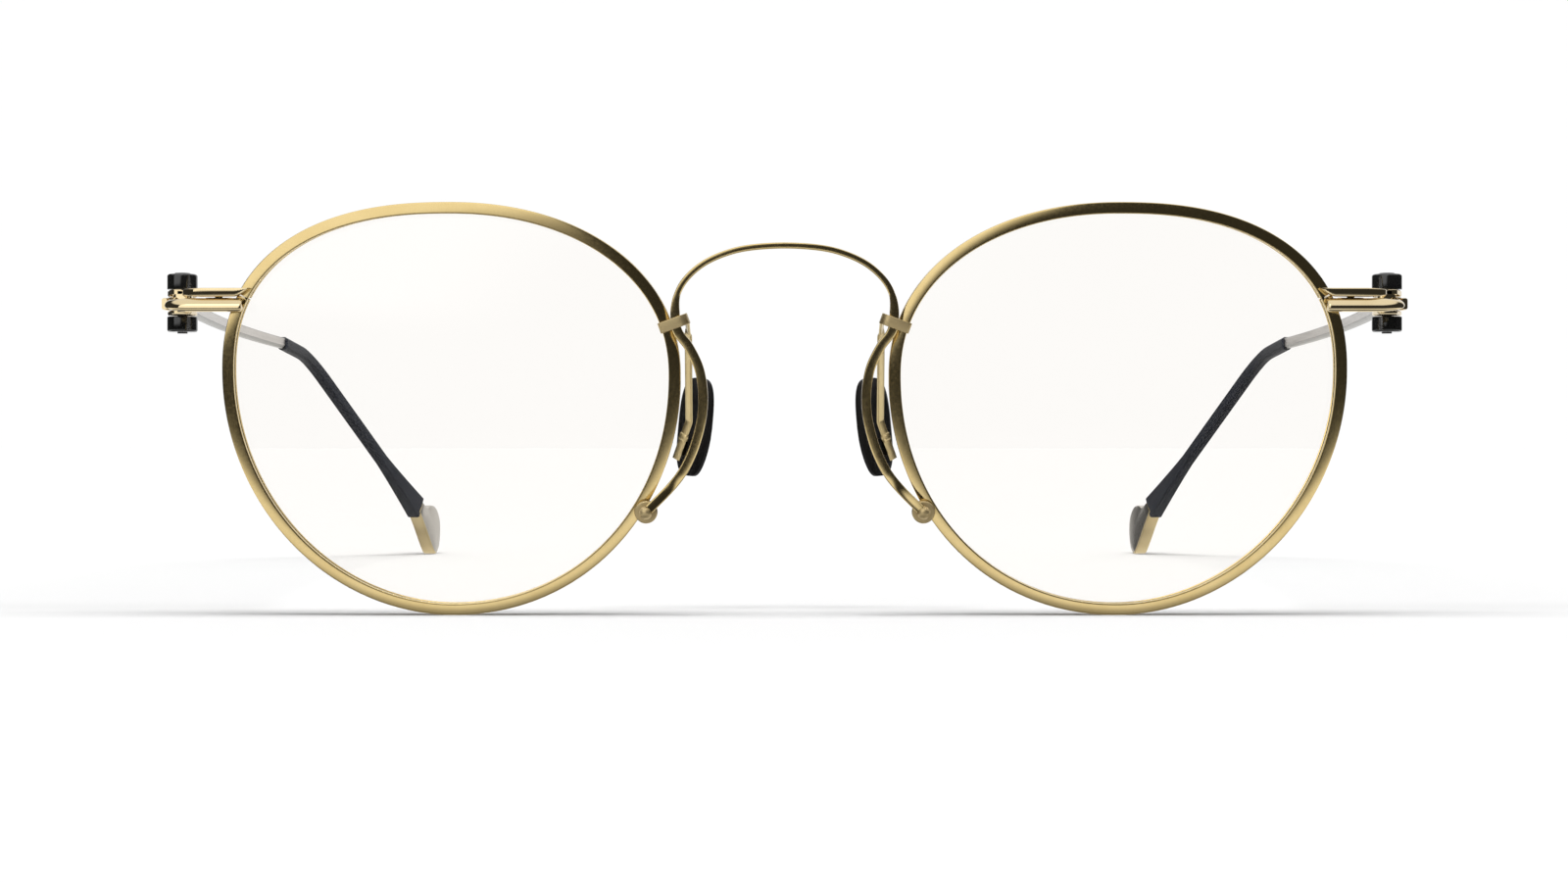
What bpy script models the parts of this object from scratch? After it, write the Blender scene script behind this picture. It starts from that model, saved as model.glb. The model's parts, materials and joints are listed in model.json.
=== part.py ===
"""Metal eyeglasses, standing open on a table.

Metres, +Z up. The front faces -Y, the temples run back along +Y, and +X is the wearer's left.
Each left piece is modelled once and mirrored to the right.
"""

import math

import bmesh
import bpy
from mathutils import Matrix, Vector

MM = 0.001

# Lens outline, in the plane of the front
LENS_WIDTH = 47.6 * MM
LENS_ABOVE = 17.7 * MM
LENS_BELOW = 25.2 * MM
BETWEEN_LENSES = 23.7 * MM
ROUND_TOP_TEMPLE = 2.38
ROUND_TOP_NOSE = 2.13
ROUND_BOTTOM_NOSE = 2.07
ROUND_BOTTOM_TEMPLE = 1.98
OUTLINE_POINTS = 56
OUTLINE_SEARCH_STEPS = 40

# Lens body
LENS_DOME = 1.4 * MM
LENS_EDGE = 1.0 * MM
LENS_BEVEL = 0.7 * MM
LENS_RING = 0.5

# Rim section
RIM_WALL = 0.7 * MM
RIM_LIP = 0.55 * MM
RIM_DEPTH = 2.0 * MM
RIM_CROWN = 0.1 * MM
RIM_CHAMFER = 0.25 * MM
GROOVE_WIDTH = 1.1 * MM
RIM_SPLIT = 0.2 * MM

# Stance and clearances
LEAN = math.radians(4.0)
SEAT_GAP = 0.3 * MM
RUN_GAP = 0.08 * MM
KNUCKLE_GAP = 0.1 * MM
CUT_PAST = 1.0 * MM

# Bridge wire: half of its route, from the middle to the ball, with heights from the middle of the lens.
# The arch counts across as a share of half the bridge, the rest as millimetres from the lens to the nose.
WIRE_DIAMETER = 1.0 * MM
ARCH_THINNING = 0.68
LOOP_SET_BACK = 0.3 * MM
ARCH_ROUTE = ((0.0, 13.76), (0.304, 13.54), (0.523, 12.95), (0.726, 11.85), (0.878, 10.3), (0.962, 8.6))
STRAP_ROUTE = ((0.2, 6.7), (0.45, 4.7))
LOOP_ROUTE = (
    (1.65, 3.0), (2.75, 0.8), (3.2, -2.7), (2.75, -5.15), (2.05, -7.8), (0.95, -10.3), (-0.55, -12.25),
)
WIRE_STEPS = 3
WIRE_ROUND_STEPS = 2

# Straps, washers and rivets on the rims, placed from the nose side and the middle of the lens
STRAP_IN = 0.05 * MM
STRAP_UP = 5.5 * MM
STRAP_LENGTH = 3.25 * MM
STRAP_HEIGHT = 1.14 * MM
STRAP_THICKNESS = 0.35 * MM
STRAP_RISE = math.radians(20.0)
STRAP_NOSE_LEG = 2.6 * MM
STRAP_CORNER = 0.4 * MM
RIVET_OUT = 3.0 * MM
RIVET_DOWN = 14.7 * MM
RIVET_BALL = 1.45 * MM
RIVET_NECK = 0.8 * MM
RIVET_SEATING = 0.6
RIVET_ARC = math.radians(120.0)
RIVET_ARC_STEPS = 5
WASHER_DIAMETER = 2.45 * MM
WASHER_THICKNESS = 0.45 * MM
WASHER_CHAMFER = 0.25 * MM

# End pieces: where they start and turn is measured from the temple side of the lens
UPPER_BAR_DIAMETER = 0.85 * MM
LOWER_TUBE_DIAMETER = 1.6 * MM
END_PIECE_SPACE = 0.1 * MM
END_PIECE_DROP = 0.2 * MM
UPPER_BAR_OVERLAP = 2.65 * MM
LOWER_TUBE_OVERLAP = 1.85 * MM
UPPER_BAR_REACH = 4.15 * MM
LOWER_TUBE_REACH = 5.95 * MM
UPPER_BAR_INSIDE = 1.2 * MM
LOWER_TUBE_INSIDE = 0.3 * MM
END_PIECE_BEND = 2.0 * MM

# Closing block behind the end pieces
CLOSING_WIDTH = 2.4 * MM
CLOSING_DEPTH = 1.8 * MM
CLOSING_UPPER = 0.75 * MM
CLOSING_LOWER = 1.35 * MM
CLOSING_SCREW_DIAMETER = 0.8 * MM

# Hinge: axis upright, placed from the temple side and the middle of the lens, and back from the front
HINGE_OUT = 7.55 * MM
HINGE_BACK = 8.0 * MM
HINGE_UP = 8.05 * MM
KNUCKLE_RADIUS = 1.6 * MM
KNUCKLE_HEIGHT = 1.4 * MM
KNUCKLE_STEPS = 18
UPPER_LEAF = 0.7 * MM
LOWER_LEAF = 0.5 * MM
FRONT_LEAF_REACH = 3.7 * MM
FRONT_LEAF_INSIDE = 1.8 * MM
FRONT_LEAF_OUTSIDE = 1.2 * MM
FORK_WRAP = math.radians(22.0)
FORK_STEPS = 12
HINGE_SCREW_DIAMETER = 1.1 * MM
HINGE_SCREW_END = 0.15 * MM
KNOB_DIAMETER = 3.3 * MM
TOP_KNOB_HEIGHT = 1.75 * MM
BOTTOM_KNOB_HEIGHT = 1.7 * MM
KNOB_CHAMFER = 0.25 * MM
KNOB_BUMP = 0.12 * MM
KNOB_BUMP_SHARE = 0.5
KNOB_BORE_SHARE = 0.6
TANG_LENGTH = 4.0 * MM
TANG_WIDTH = 1.3 * MM
TANG_OFFSET = 0.5 * MM
TANG_OPENING = math.radians(50.0)

# Temples: runs are along the depth, each from the end of the last one, and the rest is from the hinge axis
BAR_HEIGHT = 1.45 * MM
BAR_THICKNESS = 0.9 * MM
BAR_CHAMFER_SHARE = 0.2
CORE_SHARE = 0.6
BAR_RUN = 70.2 * MM
BAR_SPREAD = 3.2 * MM
BAR_BOW = 1.3 * MM
BAR_BOW_POINTS = 6
BAR_FALL = 1.55 * MM
BEND_RUN = 20.3 * MM
BEND_SPREAD = 3.6 * MM
BEND_FALL = 2.75 * MM
SLEEVE_DROP_RUN = 37.5 * MM
SLEEVE_END_IN = 6.7 * MM
SLEEVE_END_ABOVE_TABLE = 7.9 * MM
TIP_RUN = 7.5 * MM
TIP_END_IN = 8.1 * MM
BEND_RADIUS = 24.0 * MM
BEND_POINTS = 7
CORE_END_SHARE = 0.8
CORE_STEP = 0.05 * MM
SLEEVE_THICKNESS = 1.5 * MM
SLEEVE_START_HEIGHT = 1.75 * MM
SLEEVE_BEND_HEIGHT = 2.1 * MM
SLEEVE_END_HEIGHT = 3.7 * MM
SLEEVE_END_THICKNESS = 2.1 * MM
FLARE_SHARE = 0.6
SLEEVE_CHAMFER_SHARE = 0.3
TIP_THICKNESS = 2.1 * MM
TIP_FRONT = 1.5 * MM
TIP_BACK = 4.5 * MM
TIP_LENGTH = 11.5 * MM
TIP_SHOULDER = 0.3 * MM
TIP_ROUND_SHARE = 0.5
TIP_ROUND_START = math.radians(130.0)
TIP_ROUND_SWEEP = math.radians(210.0)
TIP_OUTLINE_POINTS = 11

# Nose pads: a frame on the pad's screw, turned so that its X points out from the pad's back
PAD_IN = 1.9 * MM
PAD_BACK = 10.0 * MM
PAD_DOWN = 6.3 * MM
PAD_SPLAY = math.radians(50.0)
PAD_FRONTAL = math.radians(8.0)
PAD_HEIGHT = 11.0 * MM
PAD_WIDTH = 4.7 * MM
PAD_THICKNESS = 1.9 * MM
PAD_NARROWING = 0.05
PAD_FULLNESS = 0.6
PAD_ROUND_STEPS = 16
PAD_RING_STEPS = 10
PAD_SCREW_OUT = 1.1 * MM
PAD_SCREW_FORWARD = 0.4 * MM
PAD_SCREW_DOWN = 2.4 * MM
PAD_SCREW_DIAMETER = 0.6 * MM
PAD_RECESS_ROOM = 0.3 * MM
PAD_FORK_WIDTH = 1.3 * MM
PAD_FORK_WALL = 0.45 * MM
PAD_FORK_WEB = 0.3 * MM
PAD_FORK_BACK = 0.35 * MM
PAD_LUG_HEIGHT = 0.8 * MM
PAD_LUG_RADIUS = 0.5 * MM
PAD_INSERT_INSIDE = 0.2 * MM
PAD_INSERT_THICKNESS = 0.3 * MM
PAD_ARM_WIDTH = 0.95 * MM
PAD_ARM_THICKNESS = 0.3 * MM
PAD_ARM_TAIL = 1.5 * MM
PAD_ARM_BOW = 3.2 * MM
PAD_ARM_DROP = 1.6 * MM
PAD_ARM_ELBOW_IN = 1.3 * MM
PAD_ARM_ELBOW_BACK = 7.0 * MM
PAD_ARM_ELBOW_DOWN = 5.5 * MM
PAD_ARM_BEND = 1.1 * MM
PAD_ARM_BEND_POINTS = 4
PAD_ARM_CHAMFER = 0.075 * MM

# How finely round pieces are drawn, and how their surfaces are welded and shaded
ROUND_STEPS = 20
SMALL_ROUND_STEPS = 14
SLOT_STEPS = 28
WELD_DISTANCE = 0.0001 * MM
SHARP_ANGLE = math.radians(35.0)


def remove_everything():
    for thing in list(bpy.data.objects):
        bpy.data.objects.remove(thing, do_unlink=True)


def new_collection(name):
    collection = bpy.data.collections.new(name)
    bpy.context.scene.collection.children.link(collection)
    return collection


def new_empty(name, parent=None, location=(0, 0, 0), rotation=(0, 0, 0)):
    empty = bpy.data.objects.new(name, None)
    empty.location = location
    empty.rotation_euler = rotation
    empty.parent = parent
    PARTS.objects.link(empty)
    return empty


def new_material(name, colour, roughness, metallic, alpha=1.0):
    material = bpy.data.materials.new(name)
    material.use_nodes = True
    shader = material.node_tree.nodes["Principled BSDF"]
    shader.inputs["Base Color"].default_value = (*colour, 1.0)
    shader.inputs["Roughness"].default_value = roughness
    shader.inputs["Metallic"].default_value = metallic
    shader.inputs["Alpha"].default_value = alpha
    return material


def place(name, mesh, material, parent):
    """A named piece from a mesh in its parent's frame."""
    piece = bpy.data.objects.new(name, mesh)
    piece.parent = parent
    mesh.materials.clear()
    mesh.materials.append(material)
    mesh.shade_smooth()
    mesh.set_sharp_from_angle(angle=SHARP_ANGLE)
    PARTS.objects.link(piece)
    return piece


def mesh_from(thing):
    """The evaluated mesh of a curve or a modified object, with loose caps welded; the object goes."""
    bpy.context.view_layer.update()
    evaluated = thing.evaluated_get(bpy.context.evaluated_depsgraph_get())
    mesh = bpy.data.meshes.new_from_object(evaluated)
    mesh.transform(thing.matrix_basis)
    bpy.data.objects.remove(thing, do_unlink=True)
    work = bmesh.new()
    work.from_mesh(mesh)
    bmesh.ops.remove_doubles(work, verts=work.verts, dist=WELD_DISTANCE)
    bmesh.ops.recalc_face_normals(work, faces=work.faces)
    work.to_mesh(mesh)
    work.free()
    return mesh


def flat_curve(points):
    """A closed flat outline as a 2D curve in its own XY plane."""
    curve = bpy.data.curves.new("outline", "CURVE")
    curve.dimensions = "2D"
    spline = curve.splines.new("POLY")
    spline.points.add(len(points) - 1)
    for target, point in zip(spline.points, points):
        target.co = (point[0], point[1], 0.0, 1.0)
    spline.use_cyclic_u = True
    return curve


def curve_object(curve):
    thing = bpy.data.objects.new("guide", curve)
    PARTS.objects.link(thing)
    return thing


def plate_mesh(points, thickness):
    """A flat outline given thickness evenly to both sides of its plane."""
    curve = flat_curve(points)
    curve.fill_mode = "BOTH"
    curve.extrude = thickness / 2
    return mesh_from(curve_object(curve))


def box_mesh(low, high):
    mesh = bpy.data.meshes.new("box")
    work = bmesh.new()
    bmesh.ops.create_cube(work, size=1.0)
    low = Vector(low)
    high = Vector(high)
    for vert in work.verts:
        vert.co = [(low[i] + high[i]) / 2 + vert.co[i] * (high[i] - low[i]) for i in range(3)]
    work.to_mesh(mesh)
    work.free()
    return mesh


def rod_mesh(diameter, low, high, at=(0.0, 0.0), steps=ROUND_STEPS):
    """An upright round rod between two heights."""
    mesh = bpy.data.meshes.new("rod")
    work = bmesh.new()
    bmesh.ops.create_cone(
        work, cap_ends=True, segments=steps, radius1=diameter / 2, radius2=diameter / 2, depth=high - low
    )
    bmesh.ops.translate(work, verts=work.verts, vec=(at[0], at[1], (low + high) / 2))
    work.to_mesh(mesh)
    work.free()
    return mesh


def turned_mesh(profile, closed=False, steps=ROUND_STEPS):
    """A profile of (radius, height) turned about the upright axis."""
    mesh = bpy.data.meshes.new("profile")
    count = len(profile)
    edges = [(i, i + 1) for i in range(count - 1)]
    if closed:
        edges.append((count - 1, 0))
    mesh.from_pydata([(radius, 0.0, height) for radius, height in profile], edges, [])
    thing = bpy.data.objects.new("turned", mesh)
    PARTS.objects.link(thing)
    screw = thing.modifiers.new("Turn", "SCREW")
    screw.axis = "Z"
    screw.steps = steps
    screw.render_steps = steps
    screw.use_merge_vertices = True
    screw.merge_threshold = WELD_DISTANCE
    return mesh_from(thing)


def swept_mesh(points, section=None, diameter=0.0, scales=None, sides_step=WIRE_ROUND_STEPS):
    """A section, or a round wire, carried along points; each point may scale it."""
    curve = bpy.data.curves.new("route", "CURVE")
    curve.dimensions = "3D"
    curve.twist_mode = "Z_UP"
    curve.use_fill_caps = True
    spline = curve.splines.new("POLY")
    spline.points.add(len(points) - 1)
    for index, (target, point) in enumerate(zip(spline.points, points)):
        target.co = (*point, 1.0)
        target.radius = scales[index] if scales else 1.0
    if section:
        profile = curve_object(flat_curve(section))
        curve.bevel_mode = "OBJECT"
        curve.bevel_object = profile
    else:
        curve.bevel_depth = diameter / 2
        curve.bevel_resolution = sides_step
    mesh = mesh_from(curve_object(curve))
    if section:
        bpy.data.objects.remove(profile, do_unlink=True)
    return mesh


def lofted_mesh(rings):
    """A closed skin over rings of equal count, with the first and last ring filled."""
    mesh = bpy.data.meshes.new("loft")
    work = bmesh.new()
    rows = [[work.verts.new(point) for point in ring] for ring in rings]
    count = len(rows[0])
    for row, after in zip(rows, rows[1:]):
        for i in range(count):
            j = (i + 1) % count
            work.faces.new((row[i], row[j], after[j], after[i]))
    work.faces.new(rows[0])
    work.faces.new(rows[-1])
    bmesh.ops.recalc_face_normals(work, faces=work.faces)
    work.to_mesh(mesh)
    work.free()
    return mesh


def cut(piece, mesh, operation="DIFFERENCE"):
    """Cut a piece with a mesh in the piece's own frame."""
    cutter = bpy.data.objects.new(piece.name + "_cutter", mesh)
    cutter.parent = piece
    cutter.hide_render = True
    cutter.display_type = "WIRE"
    CUTTERS.objects.link(cutter)
    change = piece.modifiers.new("Cut", "BOOLEAN")
    change.operation = operation
    change.solver = "EXACT"
    change.object = cutter


def rounded_route(points, radius, steps):
    """Straight runs through points with the inner corners rounded."""
    route = [points[0]]
    for before, corner, after in zip(points, points[1:], points[2:]):
        inward = (before - corner).normalized()
        outward = (after - corner).normalized()
        half = inward.angle(outward) / 2
        middle = (inward + outward).normalized()
        centre = corner + middle * (radius / math.sin(half))
        start = (corner + inward * (radius / math.tan(half)) - centre).normalized()
        end = (corner + outward * (radius / math.tan(half)) - centre).normalized()
        for i in range(steps):
            route.append(centre + start.slerp(end, i / (steps - 1)) * radius)
    route.append(points[-1])
    return route


def rounded_box(width, height, corner):
    """The outline of an upright rectangle with cut corners."""
    x = width / 2
    y = height / 2
    return [
        (x - corner, y), (x, y - corner), (x, corner - y), (x - corner, -y),
        (corner - x, -y), (-x, corner - y), (-x, y - corner), (corner - x, y),
    ]


def lens_centre():
    return BETWEEN_LENSES / 2 + LENS_WIDTH / 2, LENS_BELOW + RIM_WALL


def beside_nose(inward, up):
    """A place in the plane of the front: inward from the lens's nose side, up from its middle."""
    return BETWEEN_LENSES / 2 - inward, lens_centre()[1] + up


def beside_temple(outward):
    """A place across the front, outward from the lens's temple side."""
    return BETWEEN_LENSES / 2 + LENS_WIDTH + outward


def lens_edge(angle):
    """The lens outline at an angle about its middle, and its outward direction, temple side at 0."""
    across = math.cos(angle)
    up = math.sin(angle)
    half = LENS_WIDTH / 2
    tall = LENS_ABOVE if up >= 0 else LENS_BELOW
    if up >= 0:
        power = ROUND_TOP_TEMPLE if across >= 0 else ROUND_TOP_NOSE
    else:
        power = ROUND_BOTTOM_TEMPLE if across >= 0 else ROUND_BOTTOM_NOSE
    reach = (abs(across / half) ** power + abs(up / tall) ** power) ** (-1 / power)
    point = Vector((reach * across, reach * up))
    slope_x = math.copysign(abs(point.x / half) ** (power - 1) / half, across)
    slope_z = math.copysign(abs(point.y / tall) ** (power - 1) / tall, up)
    return point, Vector((slope_x, slope_z)).normalized()


def lens_outline(inset=0.0, share=1.0):
    """Points of the lens outline in the front's plane, drawn in by an inset or towards the middle."""
    middle = Vector(lens_centre())
    points = []
    for i in range(OUTLINE_POINTS):
        point, outward = lens_edge(2 * math.pi * i / OUTLINE_POINTS)
        points.append(middle + (point - outward * inset) * share)
    return points


def rim_outside_x(height):
    """How far out the rim's temple side reaches at a height above the middle line."""
    low = 0.0
    high = math.pi / 2
    for _ in range(OUTLINE_SEARCH_STEPS):
        angle = (low + high) / 2
        point, outward = lens_edge(angle)
        if lens_centre()[1] + point.y + outward.y * RIM_WALL < height:
            low = angle
        else:
            high = angle
    return lens_centre()[0] + point.x + outward.x * RIM_WALL


def front_face():
    """How far the rim's crowned front stands before the middle of its depth."""
    return RIM_DEPTH / 2 + RIM_CROWN


def make_rim():
    lip = -RIM_LIP
    half = RIM_DEPTH / 2
    groove = GROOVE_WIDTH / 2
    section = [
        (RIM_WALL - RIM_CHAMFER, half), (RIM_WALL, half - RIM_CHAMFER),
        (RIM_WALL, RIM_CHAMFER - half), (RIM_WALL - RIM_CHAMFER, -half),
        (lip + RIM_CHAMFER, -half), (lip, RIM_CHAMFER - half),
        (lip, -groove), (SEAT_GAP, 0.0), (lip, groove),
        (lip, half - RIM_CHAMFER), (lip + RIM_CHAMFER, half),
        ((RIM_WALL - RIM_LIP) / 2, front_face()),
    ]
    curve = flat_curve(lens_outline())
    curve.fill_mode = "NONE"
    profile = curve_object(flat_curve([(-out, front) for out, front in section]))
    curve.bevel_mode = "OBJECT"
    curve.bevel_object = profile
    mesh = mesh_from(curve_object(curve))
    bpy.data.objects.remove(profile, do_unlink=True)
    mesh.transform(Matrix.Rotation(math.pi / 2, 4, "X"))
    rim = place("left_rim", mesh, SATIN_GOLD, FRONT)
    split = closing_height()
    low = (lens_centre()[0] + LENS_WIDTH / 4, -RIM_DEPTH, split - RIM_SPLIT / 2)
    high = (lens_centre()[0] + LENS_WIDTH, RIM_DEPTH, split + RIM_SPLIT / 2)
    cut(rim, box_mesh(low, high))


def make_lens():
    edge = LENS_EDGE / 2
    body = lens_outline(LENS_BEVEL)
    inner = lens_outline(LENS_BEVEL, LENS_RING)
    rise = LENS_DOME * (1 - LENS_RING ** 2)
    rings = [
        [(p.x, -edge - rise, p.y) for p in inner],
        [(p.x, -edge, p.y) for p in body],
        [(p.x, 0.0, p.y) for p in lens_outline()],
        [(p.x, edge, p.y) for p in body],
        [(p.x, edge - rise, p.y) for p in inner],
    ]
    place("left_lens", lofted_mesh(rings), CLEAR_LENS, FRONT)


def wire_depth():
    """Depth of the wire's middle where it lies on the rim."""
    return -(front_face() + SEAT_GAP + WIRE_DIAMETER / 2)


def make_bridge_wire():
    end_depth = -(front_face() + 2 * SEAT_GAP + WASHER_THICKNESS + WIRE_DIAMETER / 2)
    loop_depth = wire_depth() + LOOP_SET_BACK
    half = []
    for share, up in ARCH_ROUTE:
        half.append((share * BETWEEN_LENSES / 2, wire_depth(), lens_centre()[1] + up * MM, ARCH_THINNING))
    for route, depth in ((STRAP_ROUTE, wire_depth()), (LOOP_ROUTE, loop_depth)):
        for inward, up in route:
            x, z = beside_nose(inward * MM, up * MM)
            half.append((x, depth, z, 1.0))
    x, z = beside_nose(-RIVET_OUT, -RIVET_DOWN)
    rivet = Vector((x, end_depth, z))
    last = Vector(half[-1][:3])
    stop = rivet + (last - rivet).normalized() * (RIVET_BALL / 2 + SEAT_GAP)
    half.append((*stop, 1.0))
    whole = [(-x, y, z, scale) for x, y, z, scale in reversed(half[1:])] + half
    curve = bpy.data.curves.new("bridge", "CURVE")
    curve.dimensions = "3D"
    curve.use_fill_caps = True
    curve.bevel_depth = WIRE_DIAMETER / 2
    curve.bevel_resolution = WIRE_ROUND_STEPS
    curve.resolution_u = WIRE_STEPS
    spline = curve.splines.new("BEZIER")
    spline.bezier_points.add(len(whole) - 1)
    for target, (x, y, z, scale) in zip(spline.bezier_points, whole):
        target.co = (x, y, z)
        target.radius = scale
        target.handle_left_type = "AUTO"
        target.handle_right_type = "AUTO"
    place("bridge_wire", mesh_from(curve_object(curve)), SATIN_GOLD, FRONT)


def make_strap():
    """A band over the wire: short leg to the rim's inner edge, long leg back on the nose side."""
    outer = wire_depth() - WIRE_DIAMETER / 2 - SEAT_GAP - STRAP_THICKNESS
    inner = outer + STRAP_THICKNESS
    half = STRAP_LENGTH / 2
    leg = half - STRAP_THICKNESS
    rim_end = -front_face() - SEAT_GAP
    nose_end = outer + STRAP_NOSE_LEG
    outline = [
        (half, rim_end), (half, outer + STRAP_CORNER), (half - STRAP_CORNER, outer),
        (STRAP_CORNER - half, outer), (-half, outer + STRAP_CORNER), (-half, nose_end),
        (-leg, nose_end), (-leg, inner), (leg, inner), (leg, rim_end),
    ]
    mesh = plate_mesh(outline, STRAP_HEIGHT)
    mesh.transform(Matrix.Rotation(STRAP_RISE, 4, "Y"))
    strap = place("left_bridge_strap", mesh, SATIN_GOLD, FRONT)
    x, z = beside_nose(STRAP_IN, STRAP_UP)
    strap.location = (x, 0.0, z)


def make_rivet_and_washer():
    turn = Matrix.Rotation(math.pi / 2, 4, "X")
    x, z = beside_nose(-RIVET_OUT, -RIVET_DOWN)
    back = front_face() + SEAT_GAP
    front = back + WASHER_THICKNESS
    edge = WASHER_CHAMFER
    radius = WASHER_DIAMETER / 2
    neck = RIVET_NECK / 2
    bore = neck + RUN_GAP
    profile = [(bore, front), (radius - edge, front), (radius, front - edge), (radius, back), (bore, back)]
    washer = turned_mesh(profile, closed=True)
    washer.transform(turn)
    piece = place("left_rivet_washer", washer, POLISHED_GOLD, FRONT)
    piece.location = (x, 0.0, z)
    ball = RIVET_BALL / 2
    middle = front + SEAT_GAP + ball * RIVET_SEATING
    profile = [(0.0, middle + ball)]
    for i in range(1, RIVET_ARC_STEPS + 1):
        angle = math.pi / 2 - RIVET_ARC * i / RIVET_ARC_STEPS
        profile.append((ball * math.cos(angle), middle + ball * math.sin(angle)))
    profile += [(neck, front + SEAT_GAP), (neck, back), (0.0, back)]
    rivet = turned_mesh(profile, steps=SMALL_ROUND_STEPS)
    rivet.transform(turn)
    piece = place("left_wire_rivet", rivet, POLISHED_GOLD, FRONT)
    piece.location = (x, 0.0, z)


def lower_tube_z():
    """Height of the lower end tube's middle, in the leaning front."""
    return closing_height() - END_PIECE_SPACE / 2 - LOWER_TUBE_DIAMETER / 2


def upper_bar_z():
    return closing_height() + END_PIECE_SPACE / 2 + UPPER_BAR_DIAMETER / 2


def closing_height():
    """Height of the line between the two end pieces, where the rim is split."""
    axis = hinge_axis()
    rise = math.tan(LEAN) * (front_leaf_face() + axis.z * math.sin(LEAN))
    return axis.z / math.cos(LEAN) - rise - END_PIECE_DROP + END_PIECE_SPACE / 2 + LOWER_TUBE_DIAMETER / 2


def hinge_axis():
    """The hinge's middle, in the upright frame of the pair."""
    return Vector((beside_temple(HINGE_OUT), HINGE_BACK, lens_centre()[1] + HINGE_UP))


def front_leaf_face():
    """World depth of the front of the hinge leaf, which the end pieces meet."""
    return HINGE_BACK - FRONT_LEAF_REACH


def leaf_depth(height):
    """Depth in the leaning front where the end pieces stop short of the hinge leaf."""
    world = front_leaf_face() - SEAT_GAP
    return (world + height * math.sin(LEAN)) / math.cos(LEAN)


def make_end_pieces():
    upper = (UPPER_BAR_DIAMETER, upper_bar_z(), UPPER_BAR_OVERLAP, UPPER_BAR_REACH, UPPER_BAR_INSIDE)
    lower = (LOWER_TUBE_DIAMETER, lower_tube_z(), LOWER_TUBE_OVERLAP, LOWER_TUBE_REACH, LOWER_TUBE_INSIDE)
    for name, sizes in (("left_upper_end_bar", upper), ("left_lower_end_tube", lower)):
        diameter, height, overlap, reach, inside = sizes
        depth = -(front_face() + SEAT_GAP + diameter / 2)
        start = Vector((beside_temple(-overlap), depth, height))
        corner = Vector((beside_temple(reach), depth, height))
        end = Vector((hinge_axis().x - inside, leaf_depth(height), height))
        points = [start, corner, end]
        route = rounded_route(points, END_PIECE_BEND, BEND_POINTS)
        place(name, swept_mesh(route, diameter=diameter), POLISHED_GOLD, FRONT)


def make_closing_block():
    split = closing_height()
    inside = rim_outside_x(split - CLOSING_LOWER) + SEAT_GAP
    depth = CLOSING_DEPTH / 2
    middle = (inside + CLOSING_WIDTH / 2, 0.0)
    bore = CLOSING_SCREW_DIAMETER + 2 * RUN_GAP
    upper_low = split + RIM_SPLIT / 2
    lower_high = split - RIM_SPLIT / 2
    for name, low, high in (
        ("left_upper_closing_block", upper_low, split + CLOSING_UPPER),
        ("left_lower_closing_block", split - CLOSING_LOWER, lower_high),
    ):
        block = box_mesh((inside, -depth, low), (inside + CLOSING_WIDTH, depth, high))
        piece = place(name, block, SATIN_GOLD, FRONT)
        cut(piece, rod_mesh(bore, low - CUT_PAST, high + CUT_PAST, middle))
    low = split - CLOSING_LOWER + SEAT_GAP
    high = split + CLOSING_UPPER - SEAT_GAP
    screw = rod_mesh(CLOSING_SCREW_DIAMETER, low, high, middle, SMALL_ROUND_STEPS)
    place("left_closing_screw", screw, DARK_STEEL, FRONT)


def knuckle_arc(start, sweep, steps):
    """Points round the hinge axis at the knuckle's radius."""
    angles = [start + sweep * i / steps for i in range(steps + 1)]
    return [(KNUCKLE_RADIUS * math.cos(angle), KNUCKLE_RADIUS * math.sin(angle)) for angle in angles]


def leaf_levels():
    """Heights of the hinge from its middle: knuckle half, fork's lower and upper faces."""
    knuckle = KNUCKLE_HEIGHT / 2
    inner = knuckle + KNUCKLE_GAP
    return knuckle, inner, -inner - LOWER_LEAF, inner + UPPER_LEAF


def make_front_hinge():
    """A fork from a straight end at the end pieces to a round end about the hinge axis."""
    inner, low, high = leaf_levels()[1:]
    outline = [(-FRONT_LEAF_INSIDE, -FRONT_LEAF_REACH), (FRONT_LEAF_OUTSIDE, -FRONT_LEAF_REACH)]
    outline += knuckle_arc(-FORK_WRAP, math.pi + 2 * FORK_WRAP, FORK_STEPS)
    mesh = plate_mesh(outline, high - low)
    mesh.transform(Matrix.Translation((0.0, 0.0, (low + high) / 2)))
    leaf = place("left_front_hinge", mesh, POLISHED_GOLD, HINGE)
    slot = 2 * (KNUCKLE_RADIUS + SEAT_GAP)
    cut(leaf, rod_mesh(slot, -inner, inner, steps=SLOT_STEPS))
    cut(leaf, rod_mesh(HINGE_SCREW_DIAMETER + 2 * RUN_GAP, low - CUT_PAST, high + CUT_PAST))


def make_temple_hinge():
    knuckle = leaf_levels()[0]
    left = TANG_WIDTH / 2 - TANG_OFFSET
    right = TANG_WIDTH / 2 + TANG_OFFSET
    outline = knuckle_arc((math.pi + TANG_OPENING) / 2, 2 * math.pi - TANG_OPENING, KNUCKLE_STEPS)
    outline += [(right, TANG_LENGTH), (-left, TANG_LENGTH)]
    leaf = place("left_temple_hinge", plate_mesh(outline, 2 * knuckle), POLISHED_GOLD, TEMPLE)
    cut(leaf, rod_mesh(HINGE_SCREW_DIAMETER + 2 * RUN_GAP, -2 * knuckle, 2 * knuckle))


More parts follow.
